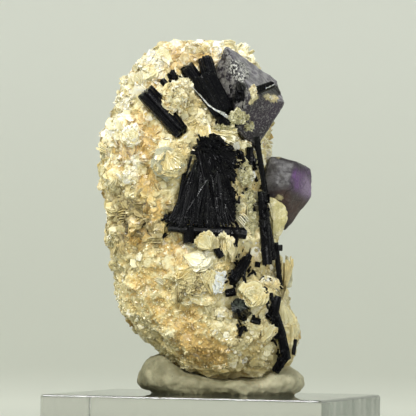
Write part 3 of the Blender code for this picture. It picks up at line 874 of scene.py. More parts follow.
@dataclass
class Stone:
    """The mica and feldspar stone under its flakes."""

    ground: Ground
    voxel: float = 0.50
    inset: float = 0.35
    block_span: float = 4.6
    block_rise: float = 2.0
    lump_span: float = 1.7
    lump_rise: float = 1.0
    relief_passes: int = 14

    def build(self) -> bpy.types.Object:
        """Model the stone from its solid.

        Returns:
            The stone, with tone and rust stored on its points.
        """
        stone = copy_of_node("matrix", "matrix_stone")
        add_modifier(stone, "REMESH", mode="VOXEL", voxel_size=self.voxel * MM)
        displace(stone, "VORONOI", self.block_span, self.block_rise, 0.5)
        displace(stone, "CLOUDS", self.lump_span, self.lump_rise, 0.5 + self.inset / self.lump_rise)
        apply_modifiers(stone)
        self._store(stone)
        for face in stone.data.polygons:
            face.use_smooth = False
        return stone

    def _store(self, stone: bpy.types.Object) -> None:
        """Store the stone's tone and rust. The tone holds painted shade in the hollows and painted light on the ridges;
        the rust is deeper in the hollows, as real staining.
        """
        smooth = new_object("smooth stone", stone.data.copy())
        add_modifier(smooth, "SMOOTH", iterations=self.relief_passes)
        apply_modifiers(smooth)
        away = (points_of(stone.data) - points_of(smooth.data)) / MM
        relief = (away * points_of(stone.data, "normal")).sum(axis=1)
        bpy.data.objects.remove(smooth, do_unlink=True)
        points = points_of(stone.data) / MM
        # painted shade in the hollows and painted light on the ridges: the tone follows the relief
        set_attribute(stone.data, "tone", self.ground.tone(points) - 0.10 + np.clip(relief, -0.5, 0.3) * 0.7)
        set_attribute(stone.data, "rust", self.ground.rust(points) + np.clip(-relief, 0.0, 0.3) * 0.9)


@dataclass
class Skin:
    """Places on the stone's surface, for spreading small things."""

    stone: bpy.types.Object
    crystals: list[str]

    def __post_init__(self) -> None:
        """Read the stone's triangles."""
        mesh = self.stone.data
        mesh.calc_loop_triangles()
        corners = np.empty(len(mesh.loop_triangles) * 3, dtype=np.int64)
        mesh.loop_triangles.foreach_get("vertices", corners)
        points = points_of(mesh) / MM
        self.corners = points[corners.reshape(-1, 3)]
        edges_a = self.corners[:, 1] - self.corners[:, 0]
        edges_b = self.corners[:, 2] - self.corners[:, 0]
        cross = np.cross(edges_a, edges_b)
        doubled = np.linalg.norm(cross, axis=1)
        self.share = doubled / doubled.sum()
        self.normals = cross / np.maximum(doubled[:, None], 1e-9)
        self.crystal_tree = tree_of_nodes(self.crystals)
        self.all_tree = tree_of_nodes(self.crystals + ["matrix"])

    def front_of(self, place: Place2) -> np.ndarray:
        """The foremost point of the solids behind a place on the front, in millimetres."""
        return np.array(foremost(self.all_tree, *place)) / MM

    def depth_at(self, place: Place2, otherwise: float) -> float:
        """The foremost Y behind a place on the front, or another number where nothing is there."""
        hit = foremost(self.all_tree, *place)
        return otherwise if hit is None else hit.y / MM

    def sample(self, count: int, rng: np.random.Generator) -> tuple[np.ndarray, np.ndarray]:
        """Places spread evenly over the stone.

        Args:
            count: How many.
            rng: The source of random draws.

        Returns:
            Rows of places in millimetres, and the ways out from there.
        """
        chosen = rng.choice(len(self.share), count, p=self.share)
        mix = rng.random((count, 2))
        flip = mix.sum(axis=1) > 1.0
        mix[flip] = 1.0 - mix[flip]
        corner = self.corners[chosen]
        places = corner[:, 0] + (corner[:, 1] - corner[:, 0]) * mix[:, :1] + (corner[:, 2] - corner[:, 0]) * mix[:, 1:]
        return places, self.normals[chosen]

    def clear_of_crystals(self, places: np.ndarray, reach: np.ndarray) -> np.ndarray:
        """Which places have no crystal within reach."""
        free = np.ones(len(places), dtype=bool)
        for row, (place, away) in enumerate(zip(places, reach)):
            found = self.crystal_tree.find_nearest(Vector(place * MM), float(away) * MM)
            free[row] = found[0] is None
        return free


@dataclass
class Cover:
    """One kind of small thing spread all over the stone, but for the putty's bed and the smooth sheets low right."""

    name: str
    grain: Grain
    count: int
    smallest: float
    largest: float
    lean: float
    lift: float
    tone_shift: float
    tone_spread: float
    sugary: bool
    bed_top: float = 27.0
    sheets_from: float = 15.5
    sheets_top: float = 49.0
    sheets_share: float = 0.85
    gap: float = 0.30
    half_size: float = 0.62

    def build(self, skin: Skin, ground: Ground, patterns: PatternBook, seed: int) -> bpy.types.Object:
        """Spread the things.

        Args:
            skin: The stone's surface.
            ground: Its colours.
            patterns: The shapes.
            seed: For the random draws.

        Returns:
            One object of all the copies.
        """
        rng = np.random.default_rng(seed)
        places, out = skin.sample(self.count, rng)
        share = ground.sugary(places)
        wanted = rng.random(self.count) < (share if self.sugary else 1.0 - share)
        size = self.smallest + (self.largest - self.smallest) * rng.random(self.count) ** 2.0
        by_sheets = (places[:, 0] > self.sheets_from) & (places[:, 2] < self.sheets_top)
        smooth_side = by_sheets & (rng.random(self.count) < self.sheets_share)
        keep = wanted & (places[:, 2] > self.bed_top) & ~smooth_side
        places, out, size = places[keep], out[keep], size[keep]
        free = skin.clear_of_crystals(places, self.gap + size * self.half_size)
        places, out, size = places[free], out[free], size[free]
        axes = out + rng.normal(0.0, self.lean, out.shape)
        sizes = size[:, None] * rng.uniform(0.85, 1.15, (len(size), 3))
        turns = frames_from_axes(axes, rng.uniform(0.0, 2.0 * math.pi, len(size)), sizes)
        tone = ground.tone(places) + self.tone_shift + rng.normal(0.0, self.tone_spread, len(size))
        rust = ground.rust(places) * rng.uniform(0.6, 1.5, len(size))
        places = places + out * (size * self.lift)[:, None]
        return spread_mesh(self.name, patterns.build(self.grain), Spread(places, turns, tone, rust))


@dataclass(frozen=True)
class Spray:
    """Blades that fan out from a root on the front, more or less along a way."""

    root: Place2
    way: Place2
    reach: float
    count: int
    spread: float
    tone: float
    rust: float
    width: float
    rise: float


@dataclass(frozen=True)
class Clump:
    """A rounded fluffy mass of small flakes on the front."""

    x: float
    z: float
    half_width: float
    half_height: float
    bulge: float
    count: int
    flake: float
    tone: float
    rust: float


NAMED_SPRAYS: tuple[Spray, ...] = (
    Spray((-4.2, 93.0), (0.05, -1.0), 6.6, 60, 0.20, 0.74, 0.10, 0.20, 0.2),
    Spray((-2.4, 89.6), (1.0, -0.10), 7.4, 60, 0.18, 0.66, 0.15, 0.20, 0.2),
    Spray((14.6, 51.2), (0.7, -1.0), 4.0, 30, 0.30, 0.80, 0.05, 0.22, 0.35),
    Spray((13.4, 84.0), (0.15, -1.0), 4.0, 24, 0.14, 0.86, 0.00, 0.18, 0.25),
)
GREY_CLUMPS: tuple[Clump, ...] = (
    Clump(7.2, 78.6, 2.6, 4.0, 1.4, 330, 0.5, 0.50, 0.05),
    Clump(8.2, 72.0, 2.0, 3.4, 1.2, 240, 0.5, 0.48, 0.05),
    Clump(9.0, 65.8, 2.1, 4.0, 1.2, 260, 0.5, 0.52, 0.10),
    Clump(5.2, 93.4, 3.4, 2.4, 1.7, 340, 0.5, 0.68, 0.15),
    Clump(7.8, 91.2, 2.0, 1.8, 1.0, 130, 0.45, 0.70, 0.15),
    Clump(1.6, 90.6, 3.4, 1.2, 1.0, 170, 0.5, 0.58, 0.15),
    Clump(5.4, 69.8, 1.2, 3.2, 0.7, 120, 0.34, 0.50, 0.05),
)
NAMED_CLUMPS: tuple[Clump, ...] = (
    Clump(-11.4, 98.2, 4.4, 5.2, 2.8, 460, 0.75, 0.64, 0.35),
    Clump(-8.6, 101.8, 2.4, 2.4, 1.6, 120, 0.7, 0.72, 0.20),
    Clump(8.9, 99.9, 1.1, 2.4, 0.6, 150, 0.34, 0.70, 0.50),
    Clump(13.9, 98.7, 2.2, 0.6, 0.4, 90, 0.30, 0.80, 0.20),
    Clump(-13.2, 80.4, 4.6, 4.2, 1.1, 46, 1.1, 0.50, 0.05),
    Clump(-22.6, 77.6, 3.0, 2.6, 1.4, 120, 0.9, 0.80, 0.00),
    Clump(-22.6, 88.0, 3.4, 3.4, 1.4, 130, 1.1, 0.82, 0.10),
    Clump(-17.2, 106.6, 5.0, 3.8, 1.8, 240, 0.9, 0.84, 0.10),
    Clump(-24.8, 97.4, 3.2, 3.8, 1.6, 150, 0.9, 0.78, 0.25),
    Clump(-6.0, 111.4, 4.4, 2.0, 1.4, 140, 0.8, 0.76, 0.45),
    Clump(-4.4, 91.6, 1.7, 3.0, 1.2, 170, 0.6, 0.62, 0.10),
    Clump(0.4, 89.4, 4.4, 1.3, 1.1, 230, 0.5, 0.58, 0.15),
    Clump(-9.6, 84.4, 2.4, 2.4, 1.2, 120, 0.7, 0.60, 0.20),
    Clump(-5.4, 49.4, 5.4, 3.8, 1.0, 90, 1.2, 0.42, 0.10),
    Clump(13.4, 84.0, 1.0, 2.4, 0.8, 40, 0.5, 0.84, 0.00),
    Clump(13.6, 50.4, 2.0, 1.6, 0.9, 50, 0.7, 0.76, 0.10),
    Clump(2.0, 41.6, 3.0, 2.0, 0.8, 50, 1.0, 0.70, 0.20),
)


@dataclass
class ClumpBed:
    """The fluffy masses of flakes at named places."""

    skin: Skin
    patterns: list[Pattern]
    lumpiness: float = 0.18

    def build(self, name: str, clumps: tuple[Clump, ...]) -> bpy.types.Object:
        """Fill each mass with flakes that face out of it.

        Args:
            name: The new object's name.
            clumps: The masses.

        Returns:
            One object of all their flakes.
        """
        rng = Draw.CLUMPS.stream()
        places, axes, sizes, tone, rust = [], [], [], [], []
        for clump in clumps:
            root = self.skin.front_of((clump.x, clump.z))
            half = np.array([clump.half_width, clump.bulge, clump.half_height])
            for _ in range(clump.count):
                away = rng.normal(0.0, 1.0, 3)
                away[1] = -abs(away[1])
                away /= np.linalg.norm(away)
                lump = math.sin(away[0] * 7.0 + clump.x) * math.sin(away[2] * 6.0 + clump.z)
                size = 1.0 - self.lumpiness + self.lumpiness * lump
                places.append(root + away * half * size * rng.uniform(0.55, 1.0) ** 0.5)
                axes.append(away + rng.normal(0.0, 0.55, 3))
                sizes.append(clump.flake * rng.uniform(0.4, 1.2, 3))
                tone.append(clump.tone + rng.normal(0.0, 0.12))
                rust.append(clump.rust * rng.uniform(0.2, 1.5))
        turns = frames_from_axes(np.array(axes), rng.uniform(0.0, SPIN_RANGE, len(places)), np.array(sizes))
        spread = Spread(np.array(places), turns, np.array(tone), np.array(rust))
        return spread_mesh(name, self.patterns, spread)


@dataclass
class SprayBed:
    """Fans and tufts of mica blades, at named places and all over the stone."""

    skin: Skin
    ground: Ground
    patterns: list[Pattern]
    loose_count: int = 300
    loose_blades: int = 9
    loose_above: float = 29.0
    blade_width: float = 1.7
    blade_depth: float = 0.6

    def named(self, sprays: tuple[Spray, ...]) -> bpy.types.Object:
        """The fans at their places on the front.

        Args:
            sprays: The fans.

        Returns:
            One object of all their blades.
        """
        rng = Draw.FANS.stream()
        roots, ways, reach, width, tone, rust = [], [], [], [], [], []
        for spray in sprays:
            hit = self.skin.front_of(spray.root)
            for _ in range(spray.count):
                loose = rng.normal(0.0, 1.0, 3)
                loose[1] = -abs(loose[1]) * spray.rise
                aimed = np.array([spray.way[0], -spray.rise * rng.uniform(0.0, 1.0), spray.way[1]])
                away = aimed / np.linalg.norm(aimed) + loose * spray.spread
                away /= np.linalg.norm(away)
                roots.append(hit + rng.normal(0.0, 0.35, 3) * (1.0, 0.5, 1.0))
                ways.append(away)
                reach.append(spray.reach * rng.uniform(0.55, 1.0))
                width.append(spray.width * rng.uniform(0.6, 1.2))
                tone.append(spray.tone + rng.normal(0.0, 0.10))
                rust.append(spray.rust * rng.uniform(0.3, 1.3))
        return self._mesh("mica_fans", roots, ways, reach, width, tone, rust, rng)

    def loose(self) -> bpy.types.Object:
        """Small tufts all over the stone.

        Returns:
            One object of all their blades.
        """
        rng = Draw.TUFTS.stream()
        places, out = self.skin.sample(self.loose_count, rng)
        sizes = rng.uniform(0.9, 2.4, self.loose_count)
        free = self.skin.clear_of_crystals(places, sizes * 0.75) & (places[:, 2] > self.loose_above)
        free &= rng.random(self.loose_count) > self.ground.sugary(places) - 0.15
        roots, ways, reach, width, tone, rust = [], [], [], [], [], []
        for place, normal, size in zip(places[free], out[free], sizes[free]):
            lead = normal * 0.5 + rng.normal(0.0, 0.8, 3)
            shade = self.ground.tone(place[None, :])[0] + rng.normal(0.06, 0.08)
            stain = self.ground.rust(place[None, :])[0]
            for _ in range(self.loose_blades):
                away = lead + rng.normal(0.0, 0.42, 3)
                away += normal * max(0.0, 0.1 - away @ normal)
                roots.append(place - normal * 0.25)
                ways.append(away / np.linalg.norm(away))
                reach.append(size * rng.uniform(0.6, 1.0))
                width.append(rng.uniform(0.28, 0.6))
                tone.append(shade + rng.normal(0.0, 0.08))
                rust.append(stain * rng.uniform(0.3, 1.1))
        return self._mesh("mica_tufts", roots, ways, reach, width, tone, rust, rng)

    def _mesh(self, name: str, roots: list[np.ndarray], ways: list[np.ndarray], reach: list[float],
              width: list[float], tone: list[float], rust: list[float], rng: np.random.Generator) -> bpy.types.Object:
        """Join blades, each with a root, a way, a reach, a width as a share of it, a tone and a rust."""
        along = np.array(ways)
        side = np.cross(along, rng.normal(0.0, 1.0, along.shape))
        side /= np.linalg.norm(side, axis=1, keepdims=True)
        normal = np.cross(along, side)
        size = np.array(reach)[:, None]
        wide = size * np.array(width)[:, None] * self.blade_width
        turns = np.stack([along * size, side * wide, normal * size * self.blade_depth], axis=2)
        return spread_mesh(name, self.patterns, Spread(np.array(roots), turns, np.array(tone), np.array(rust)))


@dataclass(frozen=True)
class Shell:
    """A fan-shaped mica sheet with fine rays, root and way on the front, angles in degrees."""

    root: Place2
    way: float
    half_angle: float
    reach: float
    lift: float
    layers: int
    tone: float
    rust: float = 0.05


SHELLS: tuple[Shell, ...] = (
    Shell((-1.6, 58.4), 128.0, 52.0, 5.4, 1.3, 3, 0.55),
    Shell((2.2, 55.6), 96.0, 15.0, 8.0, 1.5, 3, 0.63),
    Shell((4.0, 54.8), 78.0, 13.0, 7.0, 1.0, 2, 0.57),
    Shell((-1.4, 46.4), 76.0, 56.0, 6.6, 0.9, 4, 0.44, 0.0),
    Shell((-10.4, 49.6), 20.0, 40.0, 6.4, 0.8, 4, 0.43, 0.0),
    Shell((-9.0, 57.0), -20.0, 34.0, 7.0, 1.0, 3, 0.78, 0.10),
    Shell((-1.0, 46.0), 100.0, 24.0, 7.6, 1.3, 3, 0.58, 0.0),
    Shell((8.6, 42.4), 74.0, 50.0, 8.4, 1.0, 5, 0.55, 0.05),
    Shell((11.4, 46.0), 175.0, 60.0, 4.6, 1.4, 3, 0.61, 0.05),
    Shell((-8.2, 79.0), 150.0, 62.0, 7.2, 0.9, 4, 0.42, 0.02),
    Shell((-13.6, 83.6), -70.0, 40.0, 6.0, 1.2, 2, 0.44, 0.02),
    Shell((-22.4, 84.6), 110.0, 40.0, 6.0, 0.9, 3, 0.69, 0.10),
    Shell((-25.0, 74.8), 60.0, 40.0, 4.6, 0.8, 3, 0.63, 0.0),
    Shell((-4.0, 93.4), -94.0, 16.0, 7.0, 0.9, 2, 0.57),
    Shell((-3.2, 89.2), 2.0, 16.0, 8.4, 0.8, 2, 0.51),
    Shell((-20.0, 103.0), 60.0, 42.0, 5.6, 0.9, 3, 0.73, 0.05),
    Shell((-12.4, 108.0), 150.0, 40.0, 5.6, 0.9, 3, 0.71, 0.10),
    Shell((20.0, 31.5), 93.0, 10.0, 14.5, 0.35, 2, 0.47, 0.10),
    Shell((17.6, 45.4), -74.0, 26.0, 8.0, 0.6, 3, 0.57, 0.05),
    Shell((17.6, 45.4), 86.0, 9.0, 12.4, 0.3, 2, 0.36, 0.0),
    Shell((12.0, 34.0), 60.0, 30.0, 6.4, 0.8, 3, 0.59, 0.05),
    Shell((9.0, 27.6), 44.0, 26.0, 7.0, 0.8, 2, 0.57, 0.20),
    Shell((13.8, 51.8), -50.0, 34.0, 4.2, 1.2, 2, 0.71, 0.0),
)


@dataclass
class ShellBed:
    """Fan-shaped sheets that lie on the stone, each in a few layers."""

    skin: Skin
    rays: int = 20
    rings: int = 9
    layer_step: float = 0.30
    thickness: float = 0.14
    rim_depth: float = 0.07
    rim_waves: tuple[float, ...] = (5.0, 11.0, 19.0, 37.0)
    follow: float = 0.6
    deepest: float = 2.5

    def build(self, shells: tuple[Shell, ...]) -> bpy.types.Object:
        """Model every sheet and join them.

        Args:
            shells: The fans.

        Returns:
            One object of all the sheets.
        """
        rng = Draw.SHELLS.stream()
        bed = join([self._sheet(shell, layer, rng) for shell in shells for layer in range(shell.layers)], "mica_shells")
        add_modifier(bed, "SOLIDIFY", thickness=self.thickness * MM)
        apply_modifiers(bed)
        face_outward(bed)
        return bed

    def _sheet(self, shell: Shell, layer: int, rng: np.random.Generator) -> bpy.types.Object:
        """One sheet of a fan, flat until it is made thick.

        Args:
            shell: The fan.
            layer: Its number, from 0 at the bottom.
            rng: The source of random draws.

        Returns:
            The sheet, with tone and rust stored on its points.
        """
        deselect_all()
        bpy.ops.mesh.primitive_grid_add(x_subdivisions=self.rings, y_subdivisions=self.rays, size=2.0)
        sheet = bpy.context.object
        flat = points_of(sheet.data)
        out, across = (flat[:, 0] + 1.0) / 2.0, flat[:, 1]
        rim = np.ones(len(flat))
        streak = np.zeros(len(flat))
        for rays in self.rim_waves:
            wave = np.sin(across * rays + rng.uniform(0.0, PHASE_RANGE))
            rim -= self.rim_depth * (0.5 + 0.5 * wave) * out / rays ** 0.15
            streak += wave * 0.04
        reach = shell.reach * (1.0 - 0.10 * layer) * out * rim * (1.0 - 0.30 * across ** 4)
        turned = math.radians(shell.way + rng.normal(0.0, 5.0))
        angle = turned + across * math.radians(shell.half_angle * (1.0 - 0.07 * layer))
        x = shell.root[0] + reach * np.cos(angle)
        z = shell.root[1] + reach * np.sin(angle)
        root = self.skin.front_of(shell.root)[1]
        near = np.array([self.skin.depth_at((a, b), root) for a, b in zip(x, z)])
        near = root + np.clip(near - root, -self.deepest, self.deepest) * self.follow
        ripple = 0.10 * np.sin(across * 17.0 + layer) * out + rng.normal(0.0, 0.02, len(flat))
        lift = 0.25 + shell.lift * out ** 1.6 + self.layer_step * layer
        top = CAD_BOX[1][2] / MM - self.thickness
        move_points(sheet.data, np.stack([x, near - lift + ripple, np.minimum(z, top)], axis=1) * MM)
        edge = np.where(out > 0.94, 0.08, 0.0)
        set_attribute(sheet.data, "tone", shell.tone + streak + edge - 0.10 * (out < 0.2) + rng.normal(0.0, 0.03))
        set_attribute(sheet.data, "rust", np.full(len(flat), shell.rust))
        return sheet


# Crystals of schorl

@dataclass(frozen=True)
class PrismPlan:
    """A prism's two ends on the front, its radius at each, and how far its start is cut to face the front."""

    start: Place2
    end: Place2
    start_radius: float
    end_radius: float
    tilt: float = 0.0


@dataclass
class PrismShape:
    """A ridged six-sided prism, modelled a few times over and copied to each place."""

    sides: int = 42
    rings: int = 5
    variants: int = 4
    ridge: float = 0.055
    cap_chip: float = 0.028
    cap_taper: float = 0.94
    flatness: float = 0.6

    def pattern(self, seed: int) -> Pattern:
        """A prism from the origin to +Z, one unit in length and radius.

        Args:
            seed: For the ridges.

        Returns:
            The pattern.
        """
        deselect_all()
        bpy.ops.mesh.primitive_cylinder_add(
            vertices=self.sides, radius=1.0, depth=1.0, location=(0, 0, 0.5), end_fill_type="TRIFAN")
        prism = bpy.context.object
        settle(prism)
        edit_all(prism)
        for ring in range(1, self.rings):
            bpy.ops.mesh.select_all(action="SELECT")
            bpy.ops.mesh.bisect(plane_co=(0, 0, ring / self.rings), plane_no=(0, 0, 1))
        bpy.ops.object.mode_set(mode="OBJECT")
        rng = np.random.default_rng(seed)
        points = points_of(prism.data)
        angle = np.arctan2(points[:, 1], points[:, 0])
        step = np.round((angle + math.pi) / (2 * math.pi) * self.sides).astype(int) % self.sides
        ridges = 1.0 + rng.normal(0.0, self.ridge, self.sides)
        inner = np.mod(angle, math.pi / 3.0) - math.pi / 6.0
        flat = self.flatness * math.cos(math.pi / 6.0) / np.cos(inner) + 1.0 - self.flatness
        at_end = (points[:, 2] < 0.01) | (points[:, 2] > 0.99)
        taper = np.where(at_end, self.cap_taper, 1.0)
        points[:, :2] *= (ridges[step] * flat * taper)[:, None]
        points[:, 2] += np.where(at_end, rng.normal(0.0, self.cap_chip, len(points)), 0.0)
        pattern = Pattern(points, [tuple(face.vertices) for face in prism.data.polygons])
        bpy.data.objects.remove(prism, do_unlink=True)
        return pattern


@dataclass
class Schorl:
    """The black prisms, each at its solid's place."""

    finish: bpy.types.Material
    shape: PrismShape
    tries: tuple[float, ...] = (0.06, 0.14, 0.24, 0.36)
    sunk: float = 0.94
    first_spin: float = 0.3
    next_spin: float = 0.5
    shown_at_rim: float = 0.35

    def _axis_point(self, tree: BVHTree, place: Place2, radius: float, inward: Place2) -> Vector | None:
        """The point of a prism's axis behind a place on its front.

        Args:
            tree: The solid.
            place: One end of the prism.
            radius: Its radius there.
            inward: The other end. The solid is looked for a little way towards it.

        Returns:
            The point in millimetres, or nothing where the solid isn't met.
        """
        for share in self.tries:
            hit = foremost(tree, *(place[axis] + (inward[axis] - place[axis]) * share for axis in (0, 1)))
            if hit is not None:
                return Vector((place[0], hit.y / MM + radius * self.sunk, place[1]))
        return None

    def ends(self, node: str, plan: PrismPlan) -> tuple[Vector, Vector]:
        """Both ends of a prism in space, read from its solid.

        Args:
            node: The solid that holds the prism.
            plan: Its ends on the front.

        Returns:
            The two ends, in millimetres.
        """
        tree = tree_of_nodes([node])
        start = self._axis_point(tree, plan.start, plan.start_radius, plan.end)
        end = self._axis_point(tree, plan.end, plan.end_radius, plan.start)
        low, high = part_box(node)
        middle = (low.y + high.y) / 2.0 / MM
        start = start or Vector((plan.start[0], middle, plan.start[1]))
        end = end or Vector((plan.end[0], middle, plan.end[1]))
        return start, end

    @staticmethod
    def place(pattern: Pattern, start: Vector, end: Vector, plan: PrismPlan, spin: float) -> np.ndarray:
        """The points of one prism between its ends.

        Args:
            pattern: The prism's shape.
            start: One end in space, in millimetres.
            end: The other end.
            plan: Its radii and the tilt of its start.
            spin: Its angle about its axis.

        Returns:
            Rows of places, in millimetres.
        """
        radii = (plan.start_radius, plan.end_radius)
        along = end - start
        turn = np.array(along.to_track_quat("Z", "Y").to_matrix() @ Matrix.Rotation(spin, 3, "Z"))
        points = pattern.points.copy()
        width = radii[0] + (radii[1] - radii[0]) * np.clip(points[:, 2], 0.0, 1.0)
        points[:, :2] *= width[:, None]
        reach = points[:, 2] * along.length
        cap = (points[:, 2] - np.clip(points[:, 2], 0.0, 1.0)) * max(radii)
        points[:, 2] = np.clip(reach, 0.0, along.length) + cap
        toward_back = points[:, :2] @ turn[1, :2]
        at_start = pattern.points[:, 2] < 0.1
        points[:, 2] += np.where(at_start, plan.tilt * (radii[0] - toward_back), 0.0)
        return points @ turn.T + np.array(start)

    def build(self, name: str, node: str, plans: list[PrismPlan], seed: int,
              ends: tuple[Place3, Place3] | None = None) -> bpy.types.Object:
        """A group of prisms that stands for one solid.

        Args:
            name: The piece's name.
            node: The solid.
            plans: The prisms.
            seed: For their ridges.
            ends: Both ends in space, for a lone prism that faces the front.

        Returns:
            The dressed piece.
        """
        points, faces, ends_shown, start_row = [], [], [], 0
        patterns = [self.shape.pattern(seed * 31 + count) for count in range(min(self.shape.variants, len(plans)))]
        for count, plan in enumerate(plans):
            pattern = patterns[count % len(patterns)]
            start, end = (Vector(ends[0]), Vector(ends[1])) if ends else self.ends(node, plan)
            points.append(self.place(pattern, start, end, plan, self.first_spin + self.next_spin * count))
            middle = np.hypot(pattern.points[:, 0], pattern.points[:, 1]) < 0.2
            ends_shown.append(np.where(middle, 1.0, np.where(pattern.points[:, 2] < 0.1, self.shown_at_rim, 0.0)))
            faces.extend(tuple(start_row + index for index in face) for face in pattern.faces)
            start_row += len(pattern.points)
        return dress(mesh_object(name, points, faces, end=ends_shown), self.finish, "schorl", node)


SCHORL_GROUPS: dict[str, list[PrismPlan]] = {
    "schorl_left_prism": [PrismPlan((-20.5, 100.9), (-9.7, 89.0), 2.6, 2.2, 0.5)],
    "schorl_top_cluster": [
        PrismPlan((-9.5, 107.6), (2.4, 91.1), 2.0, 1.8, 0.5),
        PrismPlan((-4.9, 105.6), (1.4, 94.4), 3.2, 3.0, 0.3),
        PrismPlan((-3.9, 109.3), (-2.2, 103.1), 1.9, 1.9, 0.2)],
    "schorl_right_rods": [
        PrismPlan((10.0, 88.4), (12.7, 73.2), 0.7, 0.75),
        PrismPlan((11.6, 74.0), (13.4, 54.7), 1.25, 1.5),
        PrismPlan((12.9, 68.0), (15.1, 56.0), 0.7, 1.0)],
    "schorl_side_rod": [
        PrismPlan((15.6, 60.6), (17.0, 48.2), 0.65, 0.7),
        PrismPlan((16.4, 60.0), (16.4, 58.4), 1.0, 1.0)],
    "schorl_lower_band": [
        PrismPlan((16.4, 46.4), (14.6, 40.6), 1.0, 1.7),
        PrismPlan((15.4, 42.0), (17.6, 35.6), 1.3, 1.3),
        PrismPlan((17.3, 36.6), (18.8, 29.8), 1.2, 1.3),
        PrismPlan((18.7, 30.8), (15.9, 26.6), 1.3, 1.0)],
    "schorl_recess": [
        PrismPlan((8.0, 56.0), (4.3, 50.2), 1.5, 1.5),
        PrismPlan((8.6, 57.2), (7.4, 54.6), 0.95, 0.95)],
    "schorl_small_01": [PrismPlan((-15.2, 103.0), (-13.6, 101.2), 0.9, 0.9)],
    "schorl_small_02": [PrismPlan((-12.6, 105.4), (-11.2, 103.4), 0.9, 0.9)],
    "schorl_small_03": [PrismPlan((8.3, 85.6), (8.4, 80.8), 0.95, 0.9)],
    "schorl_small_04": [PrismPlan((7.4, 74.9), (9.9, 68.4), 0.45, 0.45)],
    "schorl_small_05": [PrismPlan((0.2, 58.9), (1.5, 56.5), 1.25, 1.1)],
    "schorl_small_06": [PrismPlan((2.4, 46.9), (5.0, 47.4), 1.0, 1.1)],
    "schorl_small_07": [PrismPlan((10.9, 55.4), (10.7, 54.0), 0.75, 0.75)],
    "schorl_small_08": [PrismPlan((12.2, 51.0), (14.6, 50.3), 0.75, 0.75)],
    "schorl_small_09": [PrismPlan((9.3, 40.2), (11.6, 39.5), 0.85, 1.0)],
    "schorl_small_10": [PrismPlan((7.2, 38.3), (6.2, 35.7), 0.6, 0.6)],
    "schorl_small_11": [PrismPlan((11.4, 38.8), (12.3, 36.0), 0.5, 0.5)],
    "schorl_small_12": [PrismPlan((21.3, 35.0), (20.8, 30.9), 0.5, 0.5)],
}
FACING_PRISMS: dict[str, tuple[float, tuple[Place3, Place3]]] = {
    "schorl_end_on": (2.3, ((5.9, -20.4, 43.8), (7.4, -13.6, 42.2))),
    "schorl_in_fluorite": (1.05, ((9.6, -17.0, 100.3), (14.0, -13.2, 102.1))),
}
FACING_SEED = 40


@dataclass(frozen=True)
class Fan:
    """Prisms that spread from a point to a line of tips."""

    root: Place2
    tips: tuple[Place2, ...]
    count: int
    root_radius: float
    tip_radius: float


@dataclass
class Sheaf:
    """The fanned black sheaf in the middle of the front."""

    schorl: Schorl
    fans: tuple[Fan, ...] = (
        Fan((-4.6, 78.4), ((-12.8, 65.4), (-9.6, 64.2), (-4.0, 64.0), (0.6, 64.2)), 150, 0.34, 0.46),
        Fan((-0.6, 77.0), ((-1.0, 64.2), (2.0, 64.4), (4.6, 65.6), (4.8, 71.0)), 90, 0.34, 0.44),
        Fan((-4.8, 85.2), ((-3.6, 75.6), (0.6, 75.0), (4.6, 76.4), (5.0, 81.0), (4.4, 85.4)), 90, 0.36, 0.44),
        Fan((-1.6, 81.0), ((-5.4, 86.6), (-2.6, 88.0), (1.6, 87.6)), 36, 0.5, 0.6),
    )
    bar: PrismPlan = PrismPlan((-12.9, 63.7), (7.6, 62.6), 1.1, 1.9)
    stub: PrismPlan = PrismPlan((-7.4, 64.5), (-7.3, 59.8), 1.9, 1.8)
    root_lean: float = 0.22

    @staticmethod
    def _along(tips: tuple[Place2, ...], share: float) -> Place2:
        """A place on the line of tips."""
        spot = share * (len(tips) - 1)
        below = min(int(spot), len(tips) - 2)
        rest = spot - below
        a, b = tips[below], tips[below + 1]
        return (a[0] + (b[0] - a[0]) * rest, a[1] + (b[1] - a[1]) * rest)

    def build(self) -> bpy.types.Object:
        """The sheaf.

        Returns:
            The dressed piece.
        """
        rng = Draw.SHEAF.stream()
        plans = [self.bar, self.stub]
        for fan in self.fans:
            for count in range(fan.count):
                tip = self._along(fan.tips, (count + rng.uniform(0.1, 0.9)) / fan.count)
                reach = rng.uniform(0.82, 1.02)
                lean = (tip[0] - fan.root[0]) * self.root_lean
                root = (fan.root[0] + lean + rng.normal(0.0, 1.0), fan.root[1] + rng.normal(0.0, 1.6))
                end = (root[0] + (tip[0] - root[0]) * reach, root[1] + (tip[1] - root[1]) * reach)
                plans.append(PrismPlan(root, end, fan.root_radius * rng.uniform(0.7, 1.2),
                                       fan.tip_radius * rng.uniform(0.6, 1.2)))
        return self.schorl.build("schorl_sheaf_fibres", "schorl_sheaf", plans, 7)


@dataclass(frozen=True)
class ChipSpot:
    """Small broken prisms round a place on the front."""

    x: float
    z: float
    half_width: float
    half_height: float
    count: int
    length: float
    lean: Place2


